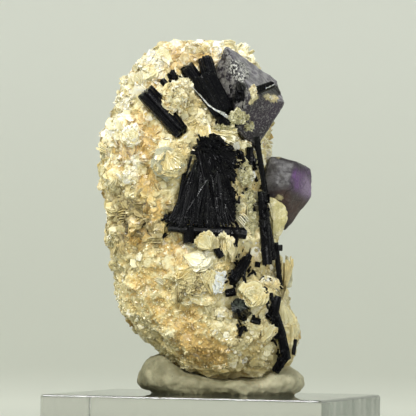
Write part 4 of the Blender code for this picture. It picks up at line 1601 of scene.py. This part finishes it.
CHIP_SPOTS: tuple[ChipSpot, ...] = (
    ChipSpot(-2.4, 85.6, 4.2, 3.4, 80, 3.2, (0.8, -0.6)),
    ChipSpot(1.4, 80.4, 4.0, 4.0, 50, 2.4, (0.7, -0.7)),
    ChipSpot(2.2, 71.6, 3.6, 5.4, 90, 1.3, (0.6, -1.0)),
    ChipSpot(7.0, 54.6, 3.0, 3.4, 34, 2.2, (-0.4, -1.0)),
    ChipSpot(4.0, 50.2, 1.8, 2.0, 12, 1.6, (-0.6, -0.6)),
    ChipSpot(5.2, 59.4, 1.4, 1.4, 7, 1.6, (0.3, -1.0)),
    ChipSpot(13.6, 46.0, 1.6, 3.0, 14, 2.2, (0.3, -1.0)),
    ChipSpot(15.6, 38.0, 1.6, 5.0, 30, 2.6, (0.5, -1.0)),
    ChipSpot(17.6, 30.0, 1.6, 3.0, 26, 2.4, (-0.3, -1.0)),
    ChipSpot(7.4, 40.4, 2.4, 3.2, 16, 1.5, (0.3, -1.0)),
    ChipSpot(6.4, 82.6, 2.2, 3.0, 18, 2.2, (0.2, -1.0)),
    ChipSpot(9.8, 80.6, 1.6, 5.0, 16, 3.0, (0.25, -1.0)),
    ChipSpot(12.6, 66.0, 1.0, 8.0, 26, 3.2, (0.12, -1.0)),
    ChipSpot(-12.4, 103.6, 2.6, 1.8, 10, 1.8, (-0.6, 0.5)),
    ChipSpot(1.4, 92.0, 2.6, 2.0, 16, 2.0, (0.5, -0.8)),
    ChipSpot(-1.4, 89.6, 2.6, 1.6, 14, 2.2, (0.7, -0.6)),
    ChipSpot(4.6, 98.8, 2.6, 3.0, 18, 1.6, (0.3, -1.0)),
    ChipSpot(-13.0, 66.0, 1.6, 2.4, 16, 2.2, (-0.8, -0.5)),
    ChipSpot(5.2, 66.6, 1.6, 4.6, 22, 2.2, (0.3, -1.0)),
    ChipSpot(-23.0, 76.6, 1.5, 0.6, 5, 0.9, (-0.8, 0.4)),
)


@dataclass
class SchorlChips:
    """Splinters and stubs of black prism scattered round the large ones."""

    finish: bpy.types.Material
    patterns: list[Pattern]
    thinnest: float = 0.35
    thickest: float = 1.1
    widest_share: float = 0.7
    sunk: float = 0.12

    def build(self, skin: Skin, spots: tuple[ChipSpot, ...]) -> bpy.types.Object:
        """Scatter the chips.

        Args:
            skin: Finds the foremost point behind each place.
            spots: Where the chips are.

        Returns:
            The dressed piece.
        """
        rng = Draw.CHIPS.stream()
        places, axes, sizes = [], [], []
        for spot in spots:
            for _ in range(spot.count):
                x = spot.x + rng.normal(0.0, 0.5) * spot.half_width
                z = spot.z + rng.normal(0.0, 0.5) * spot.half_height
                axis = np.array([spot.lean[0], rng.uniform(-0.5, 0.3), spot.lean[1]]) + rng.normal(0.0, 0.35, 3)
                long = spot.length * rng.uniform(0.35, 1.1)
                wide = min(rng.uniform(self.thinnest, self.thickest), long * self.widest_share)
                axis /= np.linalg.norm(axis)
                places.append(skin.front_of((x, z)) - axis * long * 0.5 + np.array([0.0, self.sunk, 0.0]))
                axes.append(axis)
                sizes.append((wide, wide * rng.uniform(0.7, 1.0), long))
        turns = frames_from_axes(np.array(axes), rng.uniform(0.0, SPIN_RANGE, len(places)), np.array(sizes))
        none = np.zeros(len(places))
        chips = spread_mesh("schorl_chips", self.patterns, Spread(np.array(places), turns, none, none))
        return dress(chips, self.finish, "schorl")


# Fluorite, mica books, putty and block

@dataclass
class Fluorite:
    """A worn fluorite crystal, modelled from its solid.

    Two of its faces, found by the ways that they look, are etched, and paler with painted light. Spots colour the rest,
    some with a painted highlight or painted shadow, and dent it.
    """

    finish: bpy.types.Material
    node: str
    etched_way: Place3
    painted_light_way: Place3
    vivid_spots: tuple[Spot, ...] = ()
    speckled_spots: tuple[Spot, ...] = ()
    painted_highlight_spots: tuple[Spot, ...] = ()
    warm_spots: tuple[Spot, ...] = ()
    cream_spots: tuple[Spot, ...] = ()
    shadow_and_dark_spots: tuple[Spot, ...] = ()
    dents: tuple[Spot, ...] = ()
    voxel: float = 0.30
    rounding: int = 5
    wear: float = 0.42
    wear_span: float = 2.6
    pit_span: float = 1.0
    facing_from: float = 0.78
    facing_width: float = 0.12

    def build(self) -> bpy.types.Object:
        """Round, pit and dress the crystal.

        Returns:
            The dressed piece.
        """
        crystal = copy_of_node(self.node, self.node + "_crystal")
        add_modifier(crystal, "REMESH", mode="VOXEL", voxel_size=self.voxel * MM)
        add_modifier(crystal, "SMOOTH", iterations=self.rounding)
        apply_modifiers(crystal)
        faces_out = points_of(crystal.data, "normal")
        displace(crystal, "CLOUDS", self.wear_span, self.wear, 0.6)
        displace(crystal, "VORONOI", self.pit_span, self.wear * 0.5, 0.5)
        apply_modifiers(crystal)
        # the etched face is real wear; the paler face is painted light
        for name, way in (("etched", self.etched_way), ("pale", self.painted_light_way)):
            facing = faces_out @ np.array(Vector(way).normalized())
            set_attribute(crystal.data, name, np.clip((facing - self.facing_from) / self.facing_width, 0.0, 1.0))
        points = points_of(crystal.data) / MM
        for name, spots in (
                ("vivid", self.vivid_spots), ("speckled", self.speckled_spots), ("light", self.painted_highlight_spots),
                ("warm", self.warm_spots), ("cream", self.cream_spots), ("dark", self.shadow_and_dark_spots)):
            set_attribute(crystal.data, name, np.clip(sum_spots(spots, points), 0.0, 1.0))
        points[:, 1] += sum_spots(self.dents, points)
        move_points(crystal.data, points * MM)
        make_active(crystal)
        bpy.ops.object.shade_smooth()
        return dress(crystal, self.finish, "fluorite", self.node)


@dataclass
class MicaBook:
    """A large mica crystal: sheets of its solid's outline, one behind the other."""

    finish: bpy.types.Material
    node: str
    sheets: int
    taper: float
    seed: int
    wave: float = 0.5
    wave_span: float = 4.0
    rim_depth: float = 0.07
    rim_lobes: tuple[int, ...] = (3, 5, 9, 14, 23)
    cuts: int = 4
    sheet_share: float = 0.75

    def build(self) -> bpy.types.Object:
        """Cut the solid's form into sheets and dress it.

        Returns:
            The dressed piece.
        """
        rng = np.random.default_rng(self.seed)
        base = copy_of_node(self.node, self.node + "_sheets")
        edit_all(base)
        bpy.ops.mesh.subdivide(number_cuts=self.cuts)
        bpy.ops.object.mode_set(mode="OBJECT")
        largest = max(base.data.polygons, key=lambda face: face.area)
        normal = np.array(largest.normal)
        if normal[1] > 0.0:
            normal = -normal
        points = points_of(base.data)
        middle = points.mean(axis=0)
        depth = (points - middle) @ normal
        flat = points - depth[:, None] * normal
        thick = depth.max() - depth.min()
        copies = []
        for sheet in range(self.sheets):
            share = sheet / max(1, self.sheets - 1)
            copy = new_object(self.node + "_sheet", base.data.copy())
            scale = 1.0 - self.taper * share ** 1.5 - rng.uniform(0.0, 0.06)
            shift = rng.normal(0.0, 0.15 * MM, 3)
            turn = np.array(Matrix.Rotation(rng.normal(0.0, 0.06), 3, Vector(normal)))
            thin = (depth - depth.min()) / self.sheets * self.sheet_share
            level = depth.min() + thick * share * (1.0 - 1.0 / self.sheets)
            spread = (flat - middle) * scale * self._ragged(flat - middle, normal, rng)[:, None]
            move_points(copy.data, spread @ turn.T + middle + shift + (thin + level)[:, None] * normal)
            copies.append(copy)
        bpy.data.objects.remove(base, do_unlink=True)
        book = join(copies, self.node + "_book")
        book.data.name = book.name
        displace(book, "CLOUDS", self.wave_span, self.wave, 0.5)
        apply_modifiers(book)
        return dress(book, self.finish, "mica", self.node)

    def _ragged(self, flat: np.ndarray, normal: np.ndarray, rng: np.random.Generator) -> np.ndarray:
        """How far in each point of a sheet is drawn, so that its rim is uneven.

        Args:
            flat: The sheet's points round its middle.
            normal: The way that it faces.
            rng: The source of random draws.

        Returns:
            A share of its size for each point.
        """
        first = np.cross(normal, (0.0, 0.0, 1.0))
        second = np.cross(normal, first)
        angle = np.arctan2(flat @ second, flat @ first)
        rim = np.ones(len(flat))
        for lobes in self.rim_lobes:
            rim -= self.rim_depth * (0.5 + 0.5 * np.sin(angle * lobes + rng.uniform(0.0, PHASE_RANGE))) / lobes ** 0.4
        return rim


@dataclass
class MicaRibbon:
    """A thin sheet seen edge-on along a line on the front, such as the silvery one between two prisms."""

    finish: bpy.types.Material
    name: str = "mica_ribbon"
    line: tuple[Place2, ...] = ((-7.2, 101.0), (-4.8, 98.6), (-2.9, 96.4), (-0.9, 95.0), (1.4, 94.0), (3.4, 92.2))
    half_widths: tuple[float, ...] = (0.05, 0.13, 0.18, 0.16, 0.42, 0.10)
    proud: float = 0.25
    thickness: float = 0.12
    steps: int = 30
    deepest: float = 1.2
    ripple: float = 0.12

    def build(self, skin: Skin) -> bpy.types.Object:
        """Bend a flat strip along its line, on the face of what it lies on.

        Args:
            skin: Finds the foremost point behind each place.

        Returns:
            The dressed piece.
        """
        deselect_all()
        bpy.ops.mesh.primitive_grid_add(x_subdivisions=self.steps, y_subdivisions=3, size=2.0)
        strip = bpy.context.object
        strip.name = self.name
        points = points_of(strip.data)
        share = (points[:, 0] + 1.0) / 2.0 * (len(self.line) - 1)
        steps = np.arange(len(self.line))
        x = np.interp(share, steps, [place[0] for place in self.line])
        z = np.interp(share, steps, [place[1] for place in self.line])
        width = np.interp(share, steps, self.half_widths)
        depth = np.array([skin.front_of((a, b))[1] for a, b in zip(x, z)])
        depth = np.minimum(depth, depth.min() + self.deepest) - self.proud
        ripple = self.ripple * np.sin(share * 9.0 + points[:, 1] * 2.0)
        bent = np.stack([x + points[:, 1] * width * 0.5, depth + ripple, z + points[:, 1] * width], axis=1)
        move_points(strip.data, bent * MM)
        add_modifier(strip, "SOLIDIFY", thickness=self.thickness * MM)
        apply_modifiers(strip)
        face_outward(strip)
        return dress(strip, self.finish, "mica")


@dataclass
class PuttyPad:
    """The pressed pad of putty under the stone. It is a little fuller above, and stands just clear of the block."""

    finish: bpy.types.Material
    voxel: float = 0.45
    softness: int = 8
    clearance: float = 0.02
    flattened: float = 0.5
    grip: float = 0.55
    grip_from: float = 21.5
    grip_width: float = 1.5
    painted_light_from: float = 4.0
    painted_light_width: float = 20.0

    def build(self) -> bpy.types.Object:
        """Smooth, dent and dress the pad.

        Returns:
            The dressed piece.
        """
        pad = copy_of_node("putty_pad", "putty_pad_pressed")
        add_modifier(pad, "REMESH", mode="VOXEL", voxel_size=self.voxel * MM)
        add_modifier(pad, "SMOOTH", iterations=self.softness)
        displace(pad, "CLOUDS", 3.4, 0.9, 0.5)
        displace(pad, "VORONOI", 1.6, 0.55, 0.7)
        apply_modifiers(pad)
        points = points_of(pad.data)
        upward = np.clip((points[:, 2] / MM - self.grip_from) / self.grip_width, 0.0, 1.0)
        points += points_of(pad.data, "normal") * (upward * self.grip * MM)[:, None]
        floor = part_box("display_block")[1].z + self.clearance * MM
        points[points[:, 2] < floor + self.flattened * MM, 2] = floor
        move_points(pad.data, points)
        # painted light on the right lobe
        set_attribute(pad.data, "pale", np.clip((points[:, 0] / MM - self.painted_light_from) / self.painted_light_width, 0.0, 1.0))
        make_active(pad)
        bpy.ops.object.shade_smooth()
        return dress(pad, self.finish, "putty", "putty_pad")


@dataclass
class DisplayBlock:
    """The clear block, with polished bevelled edges."""

    finish: bpy.types.Material
    edge: float = 0.22

    def build(self) -> bpy.types.Object:
        """Bevel the block's edges and dress it.

        Returns:
            The dressed piece.
        """
        block = copy_of_node("display_block", "display_block_clear")
        add_modifier(block, "BEVEL", width=self.edge * MM, segments=1, limit_method="ANGLE")
        apply_modifiers(block)
        return dress(block, self.finish, "acrylic", "display_block")


# Stage, lights and camera

@dataclass(frozen=True)
class Lamp:
    """A square lamp that faces a target and isn't seen itself, in metres and watts."""

    name: str
    place: Place3
    target: Place3
    size: float
    watts: float

    def build(self) -> None:
        """Hang the lamp."""
        data = bpy.data.lights.new(self.name, "AREA")
        data.size = self.size
        data.energy = self.watts
        lamp = new_object(self.name, data)
        lamp.location = self.place
        lamp.rotation_mode = "QUATERNION"
        lamp.rotation_quaternion = (Vector(self.target) - Vector(self.place)).to_track_quat("-Z", "Y")
        lamp.visible_camera = False


LAMPS: tuple[Lamp, ...] = (
    Lamp("key", (-0.45, -0.75, 0.80), (0.0, 0.0, 0.07), 0.30, 8.0),
    Lamp("top", (-0.24, -0.03, 1.05), (0.0, 0.0, 0.07), 0.30, 4.5),
    Lamp("spark", (-0.15, -0.9, 0.75), (0.0, 0.0, 0.07), 0.06, 2.0),
    Lamp("fill", (0.45, -1.30, 0.20), (0.0, 0.0, 0.05), 0.6, 8.0),
    Lamp("backdrop left", (-1.3, 0.9, 1.6), (0.0, 2.3, 0.25), 0.8, 6.2),
    Lamp("backdrop right", (1.3, 0.9, 1.6), (0.0, 2.3, 0.25), 0.8, 5.5),
)


@dataclass
class Stage:
    """A round pale sweep, the lights and the camera, with its lengths in metres."""

    floor_radius: float = 1.3
    wall_radius: float = 2.4
    wall_height: float = 2.6
    cove_steps: int = 14
    rim_points: int = 128
    air: Colour = (0.98, 1.0, 0.96)
    air_strength: float = 0.05
    camera_distance: float = 1.1
    camera_height: float = 0.048
    aim: Place3 = (-0.0025, 0.0, 0.0696)
    focal_px: float = 4128.0
    roll: float = 0.0158

    def build(self) -> None:
        """Make the sweep, the lights and the camera."""
        self._sweep()
        self._lights()
        self._camera()

    def _sweep(self) -> None:
        """A disc of floor that curves up to a round wall."""
        deselect_all()
        bpy.ops.mesh.primitive_circle_add(vertices=self.rim_points, radius=self.floor_radius, fill_type="NGON")
        sweep = bpy.context.object
        sweep.name = "pale_sweep"
        bpy.ops.object.mode_set(mode="EDIT")
        bpy.ops.mesh.select_mode(type="EDGE")
        bpy.ops.mesh.select_all(action="SELECT")
        radius, height = self.floor_radius, 0.0
        cove = self.wall_radius - self.floor_radius
        for step in range(1, self.cove_steps + 1):
            angle = math.pi / 2.0 * step / self.cove_steps
            wider = self.floor_radius + cove * math.sin(angle)
            higher = cove * (1.0 - math.cos(angle))
            self._raise(wider / radius, higher - height)
            radius, height = wider, higher
        self._raise(1.0, self.wall_height - height)
        bpy.ops.object.mode_set(mode="OBJECT")
        bpy.ops.object.shade_smooth()
        sweep.data.materials.append(StageFinish().build())

    @staticmethod
    def _raise(wider: float, higher: float) -> None:
        """Extrude the selected rim up and out."""
        bpy.ops.mesh.extrude_edges_move(TRANSFORM_OT_translate={"value": (0.0, 0.0, higher)})
        bpy.ops.transform.resize(value=(wider, wider, 1.0), center_override=(0.0, 0.0, 0.0))

    def _lights(self) -> None:
        """The lamps, and pale light from all round."""
        for lamp in LAMPS:
            lamp.build()
        world = bpy.data.worlds.new("pale air")
        bpy.context.scene.world = world
        world.use_nodes = True
        background = world.node_tree.nodes["Background"]
        background.inputs["Color"].default_value = (*self.air, 1.0)
        background.inputs["Strength"].default_value = self.air_strength
        bpy.context.scene.view_settings.view_transform = "Standard"

    def _camera(self) -> None:
        """The camera, at the photograph's angle."""
        data = bpy.data.cameras.new("camera")
        data.sensor_width = SENSOR_MM
        data.lens = self.focal_px / PHOTO_WIDTH_PX * SENSOR_MM
        data.clip_end = 20.0
        camera = new_object("camera", data)
        place = Vector((self.aim[0], -self.camera_distance, self.camera_height))
        turn = (Vector(self.aim) - place).to_track_quat("-Z", "Y").to_matrix().to_4x4()
        camera.matrix_world = Matrix.Translation(place) @ turn @ Matrix.Rotation(self.roll, 4, "Z")
        bpy.context.scene.camera = camera


# The whole specimen

COVERS: tuple[Cover, ...] = (
    Cover("mica_flakes_wide", Grain.FLAKE, 4200, 0.45, 1.7, 0.50, 0.05, 0.03, 0.18, False),
    Cover("mica_books_large", Grain.BOOK, 480, 1.2, 3.2, 0.70, -0.28, 0.04, 0.10, False),
    Cover("mica_flakes_fine", Grain.FLAKE, 9500, 0.25, 0.75, 0.85, 0.12, 0.03, 0.17, False),
    Cover("mica_books_small", Grain.BOOK, 1500, 0.7, 1.9, 0.95, -0.15, 0.02, 0.10, False),
    Cover("feldspar_sugar", Grain.CRYSTAL, 19000, 0.22, 0.66, 0.8, 0.15, 0.0, 0.13, True),
)
MICA: dict[str, MicaFinish] = {
    finish.name: finish for finish in (
        MicaFinish("tan mica", (0.50, 0.42, 0.20), (0.66, 0.58, 0.34)),
        MicaFinish("olive mica", (0.30, 0.28, 0.16), (0.44, 0.42, 0.27)),
        MicaFinish("grey green mica", (0.36, 0.32, 0.15), (0.70, 0.66, 0.40)),
        MicaFinish("white mica", (0.33, 0.34, 0.30), (0.64, 0.66, 0.61)),
        MicaFinish("silver mica", (0.26, 0.27, 0.24), (0.70, 0.71, 0.67), 0.22, 0.6),
        MicaFinish("leaf mica", (0.40, 0.35, 0.14), (0.58, 0.51, 0.25), scuffs=0.25),
        MicaFinish("round book mica", (0.40, 0.34, 0.16), (0.64, 0.56, 0.32), scuffs=0.4),
        MicaFinish("rosette mica", (0.34, 0.33, 0.21), (0.58, 0.56, 0.40), scuffs=0.4))}


def build_cover(skin: Skin, ground: Ground, patterns: PatternBook, flaky: bpy.types.Material,
                grey: bpy.types.Material) -> None:
    """Everything small that covers the stone.

    Args:
        skin: The stone's surface.
        ground: Its colours.
        patterns: The small shapes.
        flaky: The finish of the stone, and of most that covers it.
        grey: The finish of the grey clumps.
    """
    for count, cover in enumerate(COVERS):
        dress(cover.build(skin, ground, patterns, SEED + count), flaky, "matrix")
    sprays = SprayBed(skin, ground, patterns.build(Grain.BLADE))
    dress(sprays.named(NAMED_SPRAYS), flaky, "mica")
    dress(sprays.loose(), flaky, "mica")
    clumps = ClumpBed(skin, patterns.build(Grain.FLAKE))
    dress(clumps.build("mica_clumps", NAMED_CLUMPS), flaky, "mica")
    dress(clumps.build("mica_grey_clumps", GREY_CLUMPS), grey, "mica")
    sheet_finish = MatrixFinish("mica sheets", roughness=0.32, coat=0.35, grit=0.04, mottling=0.45).build()
    dress(ShellBed(skin).build(SHELLS), sheet_finish, "mica")


def build_schorl(skin: Skin, patterns: PatternBook) -> None:
    """All the black crystals.

    Args:
        skin: Finds what the chips lie on.
        patterns: The small shapes.
    """
    schorl = Schorl(SchorlFinish().build(), PrismShape())
    for count, (node, plans) in enumerate(SCHORL_GROUPS.items()):
        schorl.build(node + "_crystal", node, plans, count + 1)
    for count, (node, (radius, ends)) in enumerate(FACING_PRISMS.items()):
        plan = PrismPlan((0, 0), (0, 0), radius, radius)
        schorl.build(node + "_crystal", node, [plan], FACING_SEED + count, ends)
    Sheaf(Schorl(schorl.finish, PrismShape(sides=9, rings=2, variants=8, ridge=0.12))).build()
    SchorlChips(schorl.finish, patterns.build(Grain.NEEDLE)).build(skin, CHIP_SPOTS)


def build_fluorite() -> None:
    """Both purple crystals."""
    upper = FluoriteFinish("upper fluorite", (0.150, 0.140, 0.165), (0.026, 0.022, 0.027), (0.07, 0.045, 0.085),
                           transmission=0.12, streak=0.6, sparkle=0.62, veins=0.0)
    lower = FluoriteFinish("lower fluorite", (0.095, 0.09, 0.092), (0.050, 0.043, 0.050), (0.19, 0.09, 0.27),
                           transmission=0.30, streak=0.25, sparkle=0.14, veins=0.65)
    Fluorite(
        upper.build(), "fluorite_upper", (-0.45, -0.85, 0.25), (0.55, -0.35, 0.75),
        vivid_spots=(Spot(15.0, 96.0, 4.0, 0.6), Spot(9.0, 93.0, 3.0, 0.4)),
        speckled_spots=(Spot(4.4, 106.6, 2.2, 1.0), Spot(6.0, 104.6, 2.2, 0.9)),
        cream_spots=(Spot(9.0, 100.6, 1.3, 1.0), Spot(9.4, 98.6, 1.1, 0.9), Spot(14.6, 98.6, 1.4, 0.8),
                     Spot(12.4, 98.9, 1.3, 0.6), Spot(17.4, 96.6, 1.0, 0.5), Spot(8.4, 97.0, 0.9, 0.6)),
        # painted shadow below the prism in the hollow, and darker patches on the left face
        shadow_and_dark_spots=(Spot(13.0, 100.8, 1.9, 1.2), Spot(15.2, 100.8, 1.3, 1.1), Spot(11.4, 100.6, 1.3, 0.8),
                    Spot(5.4, 98.7, 1.5, 0.9), Spot(3.0, 97.4, 1.6, 0.6), Spot(4.4, 101.8, 2.0, 0.5),
                    Spot(6.6, 101.4, 1.4, 0.5)),
        dents=(Spot(13.0, 101.2, 2.2, 2.0), Spot(15.4, 100.6, 1.4, 1.2), Spot(8.8, 100.0, 1.6, 0.9),
               Spot(6.2, 99.2, 1.4, 0.8))).build()
    Fluorite(
        lower.build(), "fluorite_lower", (-0.9, -0.3, 0.3), (-0.25, -0.9, 0.35),
        vivid_spots=(Spot(21.0, 78.4, 1.5, 1.2), Spot(21.4, 75.6, 1.5, 1.0), Spot(23.8, 79.6, 1.4, 0.5)),
        painted_highlight_spots=(Spot(24.3, 74.8, 1.9, 1.7), Spot(23.6, 77.6, 1.2, 0.7)),
        warm_spots=(Spot(17.4, 72.4, 2.4, 0.9), Spot(20.6, 68.6, 3.2, 1.0), Spot(22.6, 71.6, 2.0, 0.5)),
        cream_spots=(Spot(16.0, 83.6, 1.0, 0.7), Spot(16.4, 72.5, 1.4, 0.7))).build()


def build_mica(skin: Skin, mica: dict[str, bpy.types.Material]) -> None:
    """The large mica crystals, the edge-on sheets and a strip of painted highlight on the prism in the fluorite.

    Args:
        skin: Finds what the sheets lie on.
        mica: The finishes, by name.
    """
    for book in (
            MicaBook(mica["leaf mica"], "mica_leaf_right", 5, 0.12, 3),
            MicaBook(mica["olive mica"], "mica_book_right", 1, 0.0, 4, rim_depth=0.02),
            MicaBook(mica["round book mica"], "mica_book_round", 6, 0.28, 5),
            MicaBook(mica["tan mica"], "mica_fan_left", 4, 0.20, 6),
            MicaBook(mica["tan mica"], "mica_fan_right", 4, 0.15, 7),
            MicaBook(mica["rosette mica"], "mica_rosette_left", 6, 0.28, 8),
            MicaBook(mica["white mica"], "mica_blade_white", 7, 0.30, 9, rim_depth=0.18)):
        book.build()
    silver = mica["silver mica"]
    for ribbon in (
            MicaRibbon(silver),
            # painted highlight: a bright silver strip on the prism in the fluorite, where it shows a glint
            MicaRibbon(silver, "painted_glint_strip", ((12.2, 100.9), (13.4, 101.5), (14.6, 102.2)), (0.07, 0.17, 0.06)),
            MicaRibbon(mica["tan mica"], "mica_curled_rim",
                       ((-7.4, 46.6), (-6.2, 45.2), (-4.2, 44.4), (-2.0, 44.2), (0.0, 44.5)),
                       (0.25, 0.55, 0.62, 0.58, 0.30), 0.6, 0.8)):
        ribbon.build(skin)


def main() -> None:
    """Build every piece in order."""
    logging.basicConfig(level=logging.INFO, format="%(name)s: %(message)s")
    Stage().build()
    ground = Ground()
    patterns = PatternBook()
    mica = {name: finish.build() for name, finish in MICA.items()}
    flaky = MatrixFinish().build()
    stone = dress(Stone(ground).build(), flaky, "matrix", "matrix")
    skin = Skin(stone, [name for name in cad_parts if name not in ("matrix", "putty_pad", "display_block")])
    build_cover(skin, ground, patterns, flaky, mica["grey green mica"])
    build_schorl(skin, patterns)
    build_fluorite()
    build_mica(skin, mica)
    PuttyPad(PuttyFinish().build()).build()
    DisplayBlock(AcrylicFinish().build()).build()

    deselect_all()


if __name__ == "__main__":
    main()
